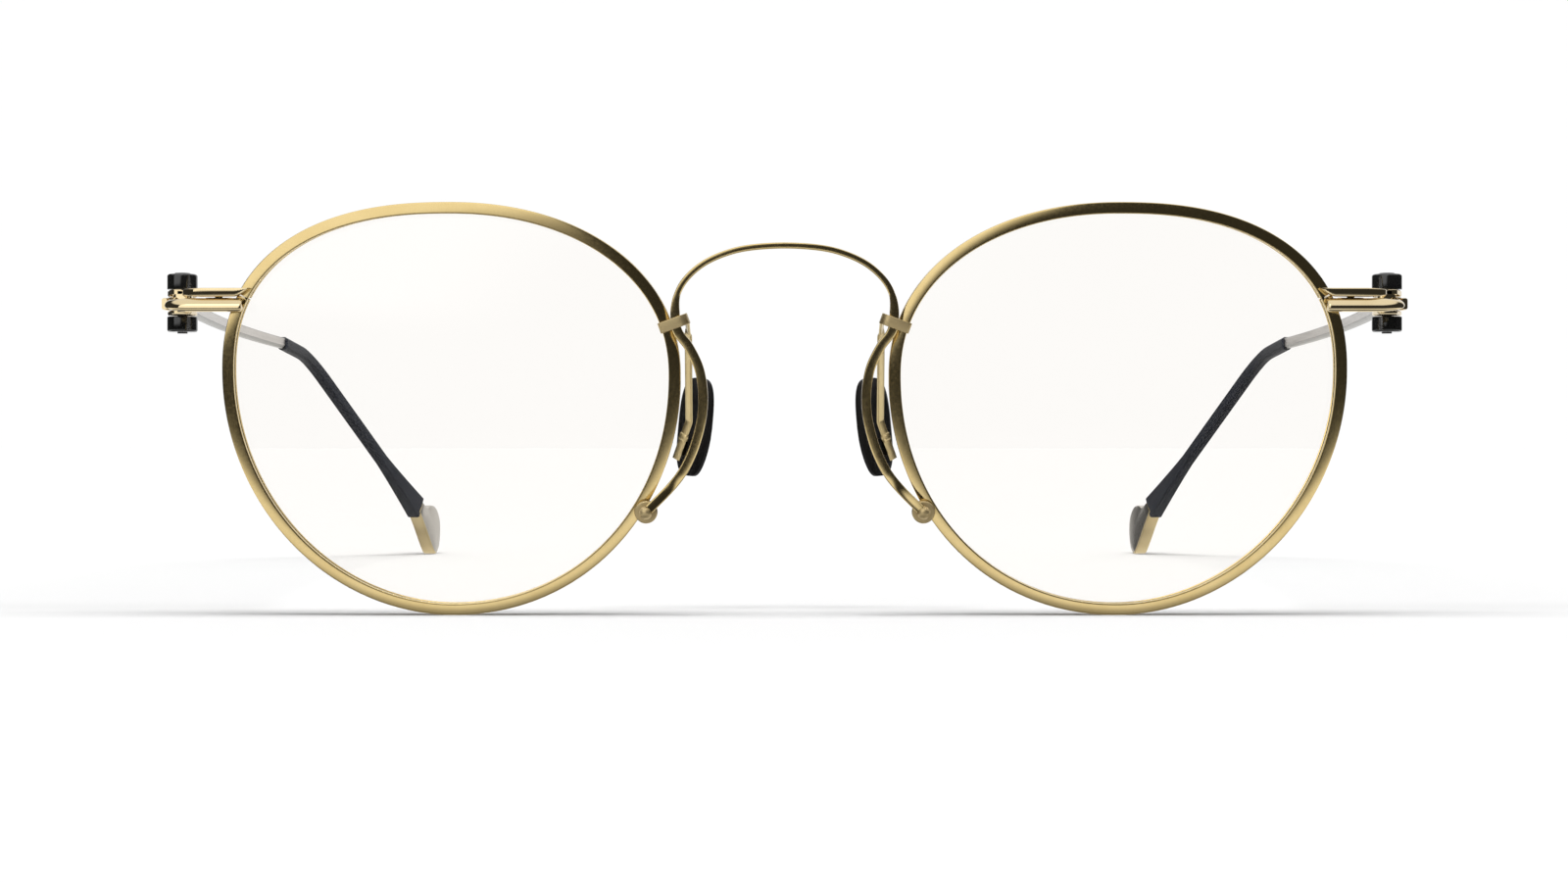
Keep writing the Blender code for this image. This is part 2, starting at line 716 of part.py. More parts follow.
def make_knobs_and_screw():
    low, high = leaf_levels()[2:]
    radius = KNOB_DIAMETER / 2
    shoulder = radius - KNOB_CHAMFER
    bore = HINGE_SCREW_DIAMETER / 2 + RUN_GAP
    bottom = high + KNUCKLE_GAP
    top = bottom + TOP_KNOB_HEIGHT
    blind = bottom + TOP_KNOB_HEIGHT * KNOB_BORE_SHARE
    bump = radius * KNOB_BUMP_SHARE
    profile = [
        (0.0, top + KNOB_BUMP), (bump, top + KNOB_BUMP), (bump + KNOB_BUMP, top), (shoulder, top),
        (radius, top - KNOB_CHAMFER), (radius, bottom + KNOB_CHAMFER), (shoulder, bottom),
        (bore, bottom), (bore, blind), (0.0, blind),
    ]
    place("left_top_knob", turned_mesh(profile), BLACK_KNOB, HINGE)
    upper = low - KNUCKLE_GAP
    base = upper - BOTTOM_KNOB_HEIGHT
    profile = [
        (bore, upper), (shoulder, upper), (radius, upper - KNOB_CHAMFER),
        (radius, base + KNOB_CHAMFER), (shoulder, base), (bore, base),
    ]
    place("left_bottom_knob", turned_mesh(profile, closed=True), BLACK_KNOB, HINGE)
    screw = rod_mesh(HINGE_SCREW_DIAMETER, base - HINGE_SCREW_END, blind - SEAT_GAP)
    place("left_hinge_screw", screw, DARK_STEEL, HINGE)


def temple_route():
    """The temple's middle line in its own frame on the hinge axis."""
    start = Vector((TANG_OFFSET, TANG_LENGTH + SEAT_GAP, 0.0))
    sleeve = Vector((BAR_SPREAD, BAR_RUN, -BAR_FALL))
    bend = Vector((BEND_SPREAD, BAR_RUN + BEND_RUN, -BEND_FALL))
    height = SLEEVE_END_ABOVE_TABLE - hinge_axis().z
    end = Vector((-SLEEVE_END_IN, bend.y + SLEEVE_DROP_RUN, height))
    return [start, sleeve, bend, end]


def sleeve_route():
    return rounded_route(temple_route()[1:], BEND_RADIUS, BEND_POINTS)


def bar_route():
    """The bar's middle line, bowed outward between the hinge and the sleeve."""
    start, sleeve = temple_route()[:2]
    shares = [i / (BAR_BOW_POINTS - 1) for i in range(BAR_BOW_POINTS)]
    bow = Vector((4 * BAR_BOW, 0.0, 0.0))
    return [start.lerp(sleeve, share) + bow * share * (1 - share) for share in shares]


def make_temple_bar():
    bar = bar_route()
    along = (bar[-1] - bar[-2]).normalized()
    core = sleeve_route()
    core[0] = bar[-1] - along * SEAT_GAP
    bar[-1] = core[0] - along * CORE_STEP
    core[-1] = core[-2].lerp(core[-1], CORE_END_SHARE)
    scales = [1.0] * len(bar) + [CORE_SHARE] * len(core)
    section = rounded_box(BAR_THICKNESS, BAR_HEIGHT, BAR_THICKNESS * BAR_CHAMFER_SHARE)
    mesh = swept_mesh(bar + core, section, scales=scales)
    place("left_temple_bar", mesh, SILVER, TEMPLE)


def section_ring(centre, along, thickness, height):
    """A cut-cornered section square to a direction, upright."""
    across = along.cross(Vector((0, 0, 1))).normalized()
    up = across.cross(along)
    outline = rounded_box(thickness, height, min(thickness, height) * SLEEVE_CHAMFER_SHARE)
    return [centre + across * x + up * z for x, z in outline]


def route_direction(route, index):
    before = route[max(index - 1, 0)]
    after = route[min(index + 1, len(route) - 1)]
    return (after - before).normalized()


def make_temple_sleeve():
    route = sleeve_route()
    flare = route[-2].lerp(route[-1], FLARE_SHARE)
    stations = route[:-1] + [flare, route[-1]]
    last = len(stations) - 1
    rings = []
    for i, centre in enumerate(stations):
        bent = min(i / (last - 1), 1.0)
        height = SLEEVE_START_HEIGHT + (SLEEVE_BEND_HEIGHT - SLEEVE_START_HEIGHT) * bent
        thickness = SLEEVE_THICKNESS
        if i == last:
            height = SLEEVE_END_HEIGHT
            thickness = SLEEVE_END_THICKNESS
        rings.append(section_ring(centre, route_direction(stations, i), thickness, height))
    sleeve = place("left_temple_sleeve", lofted_mesh(rings), DARK_SLEEVE, TEMPLE)
    inner = sleeve_route()
    inner[0] = inner[0] - route_direction(route, 0) * CUT_PAST
    inner[-1] = inner[-2].lerp(inner[-1], CORE_END_SHARE) + route_direction(route, len(route) - 1) * SEAT_GAP
    width = BAR_THICKNESS * CORE_SHARE + 2 * RUN_GAP
    height = BAR_HEIGHT * CORE_SHARE + 2 * RUN_GAP
    cut(sleeve, swept_mesh(inner, rounded_box(width, height, width * BAR_CHAMFER_SHARE)))


def make_temple_tip():
    """A flat paddle that follows the sleeve's end down to the table, cut level where it stands."""
    table = -hinge_axis().z
    start = temple_route()[-1]
    foot = Vector((-TIP_END_IN, start.y + TIP_RUN, table))
    along = (foot - start).normalized()
    across = along.cross(Vector((0, 0, 1))).normalized()
    up = across.cross(along)
    ahead = route_direction(sleeve_route(), len(sleeve_route()) - 1)
    start = start + ahead * SEAT_GAP
    base = across.cross(ahead)
    half = SLEEVE_END_HEIGHT / 2 - TIP_SHOULDER
    points = [start - base * half, start + base * half]
    for i in range(TIP_OUTLINE_POINTS):
        angle = TIP_ROUND_START - TIP_ROUND_SWEEP * i / (TIP_OUTLINE_POINTS - 1)
        side = TIP_BACK if angle > 0 else TIP_FRONT
        reach = TIP_LENGTH * (1 - TIP_ROUND_SHARE + TIP_ROUND_SHARE * math.cos(angle))
        points.append(start + along * reach + up * side * math.sin(angle))
    shift = across * (TIP_THICKNESS / 2)
    rings = [[point - shift for point in points], [point + shift for point in points]]
    tip = place("left_temple_tip", lofted_mesh(rings), SATIN_GOLD, TEMPLE)
    reach = TIP_LENGTH * 2
    low = (start.x - reach, start.y - reach, table - reach)
    high = (start.x + reach, start.y + reach, table)
    cut(tip, box_mesh(low, high))


def make_nose_pad():
    """Pad, insert, fork and screw in the pad's frame: origin on the screw, X out from the pad's back."""
    mesh = bpy.data.meshes.new("pad")
    work = bmesh.new()
    bmesh.ops.create_uvsphere(work, u_segments=PAD_ROUND_STEPS, v_segments=PAD_RING_STEPS, radius=1.0)
    for vert in work.verts:
        narrow = 1 - PAD_NARROWING * vert.co.z
        x = math.copysign(abs(vert.co.x) ** PAD_FULLNESS, vert.co.x) * PAD_THICKNESS / 2
        y = vert.co.y * narrow * PAD_WIDTH / 2
        vert.co = (x - PAD_SCREW_OUT, y + PAD_SCREW_FORWARD, vert.co.z * PAD_HEIGHT / 2 + PAD_SCREW_DOWN)
    work.to_mesh(mesh)
    work.free()
    pad = place("left_nose_pad", mesh, BLACK_PAD, PAD)
    lug = PAD_LUG_HEIGHT / 2
    inner = lug + KNUCKLE_GAP
    outer = inner + PAD_FORK_WALL
    side = PAD_FORK_WIDTH / 2
    width = side + PAD_RECESS_ROOM
    height = outer + PAD_RECESS_ROOM
    insert_low = PAD_INSERT_INSIDE - PAD_SCREW_OUT
    insert_high = insert_low + PAD_INSERT_THICKNESS
    cut(pad, box_mesh((insert_low - SEAT_GAP, -width, -height), (PAD_THICKNESS, width, height)))
    plate = (width - SEAT_GAP, height - SEAT_GAP)
    insert = box_mesh((insert_low, -plate[0], -plate[1]), (insert_high, plate[0], plate[1]))
    mount = place("left_pad_mount", insert, SATIN_GOLD, PAD)
    neck_low = insert_low + PAD_INSERT_THICKNESS / 2
    neck = box_mesh((neck_low, -PAD_LUG_RADIUS, -lug), (0.0, PAD_LUG_RADIUS, lug))
    cut(mount, neck, "UNION")
    cut(mount, rod_mesh(2 * PAD_LUG_RADIUS, -lug, lug), "UNION")
    cut(mount, rod_mesh(PAD_SCREW_DIAMETER + 2 * RUN_GAP, -outer, outer))
    reach = PAD_LUG_RADIUS + SEAT_GAP
    fork = box_mesh((-PAD_FORK_BACK, -side, -outer), (reach + PAD_FORK_WEB, side, outer))
    box = place("left_pad_box", fork, SATIN_GOLD, PAD_SEAT)
    cut(box, box_mesh((-PAD_THICKNESS, -2 * side, -inner), (reach, 2 * side, inner)))
    cut(box, rod_mesh(PAD_SCREW_DIAMETER + 2 * RUN_GAP, -2 * outer, 2 * outer))
    screw = rod_mesh(PAD_SCREW_DIAMETER, -outer, outer, steps=SMALL_ROUND_STEPS)
    place("left_pad_screw", screw, DARK_STEEL, PAD_SEAT)


def pad_frame():
    """Place and turn of the pad's screw in the leaning front."""
    turn = Matrix.Rotation(-PAD_SPLAY, 4, "Z") @ Matrix.Rotation(-PAD_FRONTAL, 4, "Y")
    screw = Vector((PAD_SCREW_OUT, -PAD_SCREW_FORWARD, -PAD_SCREW_DOWN))
    x, z = beside_nose(PAD_IN, -PAD_DOWN)
    return Matrix.Translation((x, PAD_BACK, z)) @ turn @ Matrix.Translation(screw)


def make_pad_arm():
    """A flat strip from the strap's nose leg, back and down across the front of the fork."""
    frame = pad_frame()
    reach = (STRAP_LENGTH - STRAP_THICKNESS) / 2
    strap_back = wire_depth() - WIRE_DIAMETER / 2 - SEAT_GAP - STRAP_THICKNESS + STRAP_NOSE_LEG
    x, z = beside_nose(STRAP_IN, STRAP_UP)
    leg = Vector((x - math.cos(STRAP_RISE) * reach, strap_back + SEAT_GAP, z + math.sin(STRAP_RISE) * reach))
    knee = leg + Vector((0.0, PAD_ARM_BOW, -PAD_ARM_DROP))
    out = PAD_LUG_RADIUS + SEAT_GAP + PAD_FORK_WEB + SEAT_GAP + PAD_ARM_THICKNESS / 2
    x, z = beside_nose(PAD_ARM_ELBOW_IN, -PAD_ARM_ELBOW_DOWN)
    elbow = Vector((x, PAD_ARM_ELBOW_BACK, z))
    crossing = frame @ Vector((out, 0.0, 0.0))
    end = crossing + (crossing - elbow).normalized() * PAD_ARM_TAIL
    route = rounded_route([leg, knee, elbow, end], PAD_ARM_BEND, PAD_ARM_BEND_POINTS)
    section = rounded_box(PAD_ARM_WIDTH, PAD_ARM_THICKNESS, PAD_ARM_CHAMFER)
    outward = frame.to_3x3() @ Vector((1.0, 0.0, 0.0))
    rings = []
    for index, centre in enumerate(route):
        along = route_direction(route, index)
        face = (outward - along * outward.dot(along)).normalized()
        side = along.cross(face)
        rings.append([centre + side * x + face * y for x, y in section])
    place("left_pad_arm", lofted_mesh(rings), POLISHED_GOLD, FRONT)


def mirror_pieces(parents):
    """A right piece for each left one, mirrored in the middle plane."""
    flip = Matrix.Scale(-1, 4, (1, 0, 0))
    bpy.context.view_layer.update()
    graph = bpy.context.evaluated_depsgraph_get()
    pieces = [thing for thing in PARTS.objects if thing.type == "MESH"]
    for piece in [thing for thing in pieces if thing.name.startswith("left_")]:
        mesh = bpy.data.meshes.new_from_object(piece.evaluated_get(graph))
        mesh.transform(flip)
        mesh.flip_normals()
        copy = bpy.data.objects.new(piece.name.replace("left_", "right_"), mesh)
        copy.parent = parents.get(piece.parent, piece.parent)
        copy.location = (-piece.location.x, piece.location.y, piece.location.z)
        PARTS.objects.link(copy)


def centre_on_table():
    """Move the whole pair so that its box is centred front to back."""
    bpy.context.view_layer.update()
    graph = bpy.context.evaluated_depsgraph_get()
    depths = []
    for piece in PARTS.objects:
        if piece.type == "MESH":
            shape = piece.evaluated_get(graph)
            depths += [(shape.matrix_world @ vert.co).y for vert in shape.data.vertices]
    GLASSES.location.y = -(min(depths) + max(depths)) / 2


remove_everything()
PARTS = new_collection("eyeglasses")
CUTTERS = new_collection("cutters")
SATIN_GOLD = new_material("satin_gold", (0.62, 0.45, 0.22), 0.32, 1.0)
POLISHED_GOLD = new_material("polished_gold", (0.80, 0.62, 0.34), 0.15, 1.0)
SILVER = new_material("brushed_silver", (0.60, 0.57, 0.54), 0.35, 1.0)
DARK_STEEL = new_material("dark_steel", (0.15, 0.15, 0.15), 0.3, 1.0)
BLACK_KNOB = new_material("black_knob", (0.012, 0.012, 0.012), 0.12, 0.0)
BLACK_PAD = new_material("black_pad", (0.01, 0.009, 0.009), 0.45, 0.0)
DARK_SLEEVE = new_material("dark_sleeve", (0.03, 0.033, 0.042), 0.4, 0.0)
CLEAR_LENS = new_material("clear_lens", (0.98, 0.97, 0.93), 0.02, 0.0, 0.12)

GLASSES = new_empty("glasses_stance")
LIFT = (RIM_DEPTH / 2 - RIM_CHAMFER) * math.sin(LEAN)
FRONT = new_empty("front_lean", GLASSES, (0.0, 0.0, LIFT), (LEAN, 0.0, 0.0))
AXIS = hinge_axis()
MIRRORED_AXIS = Vector((-AXIS.x, AXIS.y, AXIS.z))
HINGE = new_empty("left_hinge_place", GLASSES, AXIS)
TEMPLE = new_empty("left_temple_axis", GLASSES, AXIS)
RIGHT_HINGE = new_empty("right_hinge_place", GLASSES, MIRRORED_AXIS)
RIGHT_TEMPLE = new_empty("right_temple_axis", GLASSES, MIRRORED_AXIS)
PAD_PLACE = pad_frame()
PAD_TURN = PAD_PLACE.to_euler()
MIRRORED_TURN = (PAD_TURN.x, -PAD_TURN.y, -PAD_TURN.z)
PAD_SPOT = PAD_PLACE.translation
MIRRORED_SPOT = Vector((-PAD_SPOT.x, PAD_SPOT.y, PAD_SPOT.z))
PAD = new_empty("left_pad_axis", FRONT, PAD_SPOT, PAD_TURN)
PAD_SEAT = new_empty("left_pad_seat", FRONT, PAD_SPOT, PAD_TURN)
RIGHT_PAD = new_empty("right_pad_axis", FRONT, MIRRORED_SPOT, MIRRORED_TURN)
RIGHT_PAD_SEAT = new_empty("right_pad_seat", FRONT, MIRRORED_SPOT, MIRRORED_TURN)

make_rim()
make_lens()
make_strap()
make_rivet_and_washer()
make_end_pieces()
make_closing_block()
make_front_hinge()
make_temple_hinge()
make_knobs_and_screw()
make_temple_bar()
make_temple_sleeve()
make_temple_tip()
make_nose_pad()
make_pad_arm()
mirror_pieces({HINGE: RIGHT_HINGE, TEMPLE: RIGHT_TEMPLE, PAD: RIGHT_PAD, PAD_SEAT: RIGHT_PAD_SEAT})
make_bridge_wire()
centre_on_table()
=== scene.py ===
"""The looks of the metal eyeglasses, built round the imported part.

Sizes are written in millimetres and used in metres. The front faces -Y and +X is the wearer's left.
Each left piece is made once and mirrored to the right.
"""

import json
from math import copysign, cos, pi, radians, sin, tan

import bpy
from mathutils import Matrix, Vector


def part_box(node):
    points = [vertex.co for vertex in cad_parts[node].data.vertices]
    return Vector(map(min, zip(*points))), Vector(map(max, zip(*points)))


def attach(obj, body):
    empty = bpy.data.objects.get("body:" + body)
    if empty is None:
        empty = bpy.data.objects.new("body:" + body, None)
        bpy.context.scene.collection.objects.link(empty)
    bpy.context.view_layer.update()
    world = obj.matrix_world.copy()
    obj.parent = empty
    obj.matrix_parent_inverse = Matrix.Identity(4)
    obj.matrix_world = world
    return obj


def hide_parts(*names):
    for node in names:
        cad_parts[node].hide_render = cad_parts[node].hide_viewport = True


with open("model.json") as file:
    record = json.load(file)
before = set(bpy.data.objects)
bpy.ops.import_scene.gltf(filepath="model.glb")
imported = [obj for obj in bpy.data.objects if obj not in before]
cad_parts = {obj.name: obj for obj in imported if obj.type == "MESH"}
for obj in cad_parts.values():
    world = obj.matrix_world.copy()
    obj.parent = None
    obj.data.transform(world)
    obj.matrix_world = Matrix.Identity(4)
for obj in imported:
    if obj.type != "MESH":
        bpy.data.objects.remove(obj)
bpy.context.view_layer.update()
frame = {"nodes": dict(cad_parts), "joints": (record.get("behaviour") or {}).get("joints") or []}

MM = 0.001
SIDES = ("left", "right")
DEPTH = Vector((0.0, 1.0, 0.0))
UPRIGHT = Vector((0.0, 0.0, 1.0))
SHARP_ANGLE = radians(38.0)

# The temples' hinge and the pads' screw, from the frame's joints; the front leans as in the part
JOINTS = {joint["name"]: joint for joint in frame["joints"]}
HINGE = Vector(JOINTS["left_temple_fold"]["pos_m"])
PAD_SCREW = Vector(JOINTS["left_pad_rock"]["pos_m"])
HINGE_BACK = 8.0 * MM
LEAN = radians(4.0)
LEAN_LIFT = 0.052 * MM
FRONT = Matrix.Translation((0.0, HINGE.y - HINGE_BACK, LEAN_LIFT)) @ Matrix.Rotation(LEAN, 4, "X")

# Lens outline in the plane of the front
LENS_WIDTH = 47.6 * MM
LENS_ABOVE = 17.7 * MM
LENS_BELOW = 25.2 * MM
BETWEEN_LENSES = 23.7 * MM
ROUND_TOP_TEMPLE = 2.38
ROUND_TOP_NOSE = 2.13
ROUND_BOTTOM_NOSE = 2.07
ROUND_BOTTOM_TEMPLE = 1.98
OUTLINE_STEPS = 260
OUTLINE_HALVINGS = 40

# Rim section: a face that rolls gently outward, a square inner wall and the lens groove
RIM_WALL = 0.7 * MM
RIM_OUTSIDE = 0.695 * MM
RIM_LIP = 0.55 * MM
RIM_DEPTH = 2.1 * MM
RIM_ROLL_INSIDE = radians(4.0)
RIM_ROLL_OUTSIDE = radians(16.0)
RIM_ROLL_STEPS = 6
RIM_EDGE = 0.09 * MM
RIM_BACK_EDGE = 0.25 * MM
RIM_FRONT = 1.1 * MM
GROOVE_WIDTH = 1.1 * MM
GROOVE_DEPTH = 0.85 * MM
RIM_SPLIT = 0.16 * MM
END_LINE = 34.217 * MM

# Lens
LENS_DOME = 1.4 * MM
LENS_THICKNESS = 1.0 * MM
LENS_BEVEL = 0.42 * MM
LENS_RINGS = (0.02, 0.25, 0.45, 0.62, 0.76, 0.88, 1.0)

# Bridge wire: the arch across in shares of half the bridge, the rest in millimetres from the lens
ARCH_ROUTE = ((0.0, 13.76), (0.304, 13.54), (0.523, 12.95), (0.726, 11.85), (0.878, 10.3), (0.962, 8.6))
STRAP_ROUTE = ((0.2, 6.7), (0.45, 4.7))
LOOP_ROUTE = (
    (1.65, 3.0), (2.7, 0.8), (3.12, -1.6), (3.08, -4.0),
    (2.62, -6.3), (1.88, -8.5), (0.85, -10.5), (-0.55, -12.25),
)
WIRE_STEPS = 9
WIRE_WIDTH = 1.0 * MM
ARCH_WIDTH = 0.66 * MM
WIRE_THICKNESS = 1.0 * MM
WIRE_EDGE = 0.12 * MM
WIRE_DEPTH = -1.9 * MM
LOOP_SET_BACK = 0.3 * MM

# Straps, washers and ball rivets
STRAP_IN = 0.05 * MM
STRAP_UP = 5.5 * MM
STRAP_LENGTH = 3.25 * MM
STRAP_HEIGHT = 1.16 * MM
STRAP_THICKNESS = 0.35 * MM
STRAP_RISE = radians(20.0)
STRAP_LEG = 2.6 * MM
STRAP_CORNER = 0.75 * MM
STRAP_RIM_CORNER = 0.25 * MM
STRAP_EDGE = 0.07 * MM
STRAP_FRONT = 3.0 * MM
STRAP_RIM_STEPS = 5
STRAP_NOSE_STEPS = 8
RIVET_OUT = 3.0 * MM
RIVET_DOWN = 14.7 * MM
RIVET_BALL = 1.45 * MM
BALL_FRONT = 2.3 * MM
BALL_START = radians(-67.5)
BALL_SWEEP = radians(154.8)
BALL_STEPS = 20
WIRE_END_GAP = RIVET_BALL / 3
RIVET_NECK = 0.8 * MM
WASHER_DIAMETER = 2.45 * MM
WASHER_BACK = 1.0 * MM
WASHER_FRONT = 1.75 * MM
WASHER_EDGE = 0.2 * MM
EDGE_STEPS = 6

# End pieces: a flat bar above an oval tube, whose nose is given in shares of its first run and its section
END_BAR_DEPTH = 0.85 * MM
END_BAR_HEIGHT = 0.96 * MM
END_BAR_EDGE = 0.15 * MM
END_BAR_START_SHARE = 0.08
END_BAR_END_SHARE = 0.62
TUBE_DIAMETER = 1.6 * MM
END_PIECE_SPACE = 0.1 * MM
END_BAR_OVERLAP = 2.35 * MM
END_BAR_TAPER = 1.7 * MM
END_BAR_TAPER_STEPS = 6
TUBE_OVERLAP = 1.75 * MM
END_BAR_REACH = 4.15 * MM
TUBE_REACH = 6.3 * MM
END_BAR_INSIDE = 1.2 * MM
TUBE_OUTSIDE = 0.1 * MM
TUBE_RISE = 0.45 * MM
TUBE_TALL = 0.88 * MM
TUBE_FLAT = 0.53 * MM
TUBE_TURN = radians(45.0)
TUBE_STEPS = 40
TUBE_NOSE = ((0.0, 0.8), (0.01, 0.92), (0.03, 0.98), (0.06, 1.0))
TUBE_END_SHARE = 0.45
END_BAR_BEND = 2.0 * MM
TUBE_BEND = 2.7 * MM
END_PIECE_STOP = 6.6 * MM
END_PIECE_SINK = 0.15 * MM
HINGE_OUT = 7.55 * MM

# Hinges: their knobs, softened edges, forks and stops
KNOB_DIAMETER = 3.3 * MM
KNOB_STEPS = 72
KNOB_AXIS = 0.0002 * MM
KNOB_EDGE = 0.28 * MM
KNOB_SEAT_EDGE = 0.08 * MM
KNOB_BUMP = 0.12 * MM
KNOB_BUMP_SHARE = 0.5
HINGE_BEVEL = 0.15 * MM
HINGE_BEVEL_ANGLE = radians(40.0)
HINGE_BEVEL_STEPS = 3
FORK_RADIUS = 1.6 * MM
FORK_REACH = 3.68 * MM
FORK_INSIDE = 1.8 * MM
FORK_OUTSIDE = 0.2 * MM
FORK_ROUND_START = -0.5
FORK_ROUND_STEPS = 30
FORK_CORNER = 0.55 * MM
FORK_CORNER_STEPS = 5
FORK_WEB_BACK = 2.15 * MM
FORK_SLOT = 0.8 * MM
FORK_EDGE = 0.12 * MM
FORK_EDGE_SHARE = 0.93
STOP_INNER = 1.45 * MM
STOP_OUTER = 2.1 * MM
STOP_FRONT = 1.0 * MM
STOP_BACK = 3.4 * MM
STOP_HEIGHT = 1.34 * MM
STOP_EDGE = 0.22 * MM
STOP_NOSE_SHARE = 0.9

# Temples, from the hinge axis
BAR_HEIGHT = 1.45 * MM
BAR_THICKNESS = 0.9 * MM
BAR_EDGE = 0.13 * MM
BAR_BEVEL = 0.36 * MM
BAR_START = Vector((0.5, 4.0, 0.0)) * MM
BAR_BOW = Vector((1.3, 0.0, 0.0)) * MM
BAR_STEPS = 16
BAR_INTO_SLEEVE = 0.1
SLEEVE_START = Vector((3.2, 70.2, -1.55)) * MM
TEMPLE_BEND = Vector((3.6, 90.5, -2.75)) * MM
SLEEVE_END = Vector((-6.7, 128.0, -26.05)) * MM
TIP_END = Vector((-8.1, 135.5, -33.95)) * MM
BEND_RADIUS = 24.0 * MM
BEND_STEPS = 18
SLEEVE_THICKNESS = 1.48 * MM
SLEEVE_START_HEIGHT = 1.75 * MM
SLEEVE_BEND_HEIGHT = 2.1 * MM
SLEEVE_END_HEIGHT = 3.7 * MM
SLEEVE_END_THICKNESS = 2.1 * MM
SLEEVE_FACET = 0.24
SLEEVE_END_FACET = 0.1
SLEEVE_EDGE = 0.08 * MM
SLEEVE_STEPS = 6
FLARE_SHARE = 0.6
FLARE_POWER = 1.3
FLARE_STEPS = 8
TIP_OUTLINE = (
    (-0.2, 0.9), (2.1, 2.0), (3.2, 3.6), (4.7, 4.75), (6.5, 5.15), (8.2, 4.85), (9.4, 3.95),
    (10.4, 2.7), (10.95, 1.2), (10.68, -0.2), (9.5, -0.7), (6.1, -0.9), (3.4, -0.95), (-0.2, -1.2),
)
TIP_STEPS = 4
TIP_THICKNESS = 2.1 * MM
TIP_EDGE = 0.22 * MM
TIP_EDGE_STEPS = 5
TIP_FOOT = 8

# Faces of the tips; their rolled edge is given as (share of the way in, depth below the face)
FACE_IN = 0.12 * MM
FACE_WRAP = 0.015 * MM
FACE_ROLL = ((0.0, TIP_THICKNESS / 2), (0.0, TIP_EDGE), (0.008, TIP_EDGE / 3), (0.02, TIP_EDGE / 10))
FACE_DOME = 0.15 * MM
FACE_SHARES = (0.03, 0.2, 0.45, 0.7, 0.95)

# Nose pads, and the arms that carry them
PAD_SPLAY = radians(50.0)
PAD_FRONTAL = radians(8.0)
PAD_HEIGHT = 11.0 * MM
PAD_WIDTH = 4.7 * MM
PAD_THICKNESS = 1.9 * MM
PAD_NARROWING = 0.34
PAD_NARROWING_POWER = 1.6
PAD_DOME_POWER = 2.5
PAD_BACK_DOME = 2.0
PAD_OUT = 1.1 * MM
PAD_FORWARD = 0.4 * MM
PAD_UP = 2.4 * MM
PAD_SQUARENESS = 3.2
PAD_ROUND_STEPS = 64
PAD_RINGS = (0.05, 0.3, 0.55, 0.75, 0.88, 0.96, 1.0)
PAD_EDGE_SHARE = 0.5
PAD_PARTING_SHARE = 0.4
ARM_WIDTH = 0.95 * MM
ARM_THICKNESS = 0.3 * MM
ARM_EDGE = 0.07 * MM
ARM_OUT = 1.55 * MM
ARM_TAIL = 1.5 * MM
ARM_BOW = 3.2 * MM
ARM_DROP = 1.6 * MM
ARM_ELBOW_IN = 1.3 * MM
ARM_ELBOW_BACK = 7.0 * MM
ARM_ELBOW_DOWN = 5.5 * MM
ARM_BEND = 1.1 * MM
ARM_STEPS = 8
CRIMP_UP = 0.75 * MM
CRIMP_LENGTH = 0.8 * MM
CRIMP_PROUD = 0.12 * MM
CRIMP_SHARES = (1.0, 0.9, 0.1, 0.0)

# Camera: level, in front of the pair; a picture 1600 pixels wide
PICTURE_WIDTH = 1600
CAMERA_AHEAD = 265.0 * MM
CAMERA_HEIGHT = 18.74 * MM
CAMERA_FOCUS_PIXELS = 2503.5
CAMERA_SIDE_PIXELS = 0.7
SENSOR_WIDTH = 36.0

# Studio: a soft box panel on the viewer's left behind the camera, whose watts a square metre give a
# level of 1, and a row of lamps above the pair
PANEL_AHEAD = 570.0 * MM
PANEL_WIDTH = 900.0 * MM
PANEL_HEIGHT = 800.0 * MM
PANEL_RIGHT_EDGE = 48.0 * MM
PANEL_BOTTOM = 8.0 * MM
PANEL_BOTTOM_FADE = 70.0 * MM
PANEL_SIDE_FADE = 190.0 * MM
PANEL_LEAN = 0.5
PANEL_LEAN_HEIGHT = 170.0 * MM
PANEL_LIGHT = 1.12
PANEL_WATTS = 4.0
LAMP_HEIGHT = 241.0 * MM
LAMP_AHEAD = 28.0 * MM
LAMP_DEPTH = 60.0 * MM
LAMP_SPACING = 60.0 * MM
LAMP_COUNT = 4
LAMP_LIGHT = 3.8

# What the metal mirrors: light on the table before it by degrees of height, a white backdrop that ends on
# both sides, and light overhead; each fade runs between two places on a direction's axis
TABLE_LIGHT = (
    (-90, 0.2), (-46, 0.25), (-34, 0.62), (-26, 1.3), (-19, 1.3), (-14, 0.25), (-10, 0.04), (90, 0.04),
)
BACKDROP_FADE = (-0.1, 0.15)
BACKDROP_EDGES = ((-0.46, -0.34), (0.72, 0.58))
OVERHEAD_FADE = (0.56, 0.69)
OVERHEAD_LIGHT = 1.1
ROOM_LIGHT = 1.0
WHITE = 1.006
FLOOR_WHITE = 1.024
FLOOR_TOOTH = 0.004
FLOOR_HALF = 6.0


def linear(colour):
    """An sRGB hex colour as linear red, green, blue and alpha."""
    channels = []
    for start in (1, 3, 5):
        value = int(colour[start:start + 2], 16) / 255
        channels.append(value / 12.92 if value <= 0.04045 else ((value + 0.055) / 1.055) ** 2.4)
    return (*channels, 1.0)


def add_node(tree, kind, inputs=None, **settings):
    """A shader node with its settings; an input is a value, an output, or a node for its first output."""
    node = tree.nodes.new("ShaderNode" + kind)
    for name, value in settings.items():
        setattr(node, name, value)
    for name, value in (inputs or {}).items():
        if isinstance(value, bpy.types.Node):
            value = value.outputs[0]
        if isinstance(value, bpy.types.NodeSocket):
            tree.links.new(value, node.inputs[name])
        else:
            node.inputs[name].default_value = value
    return node


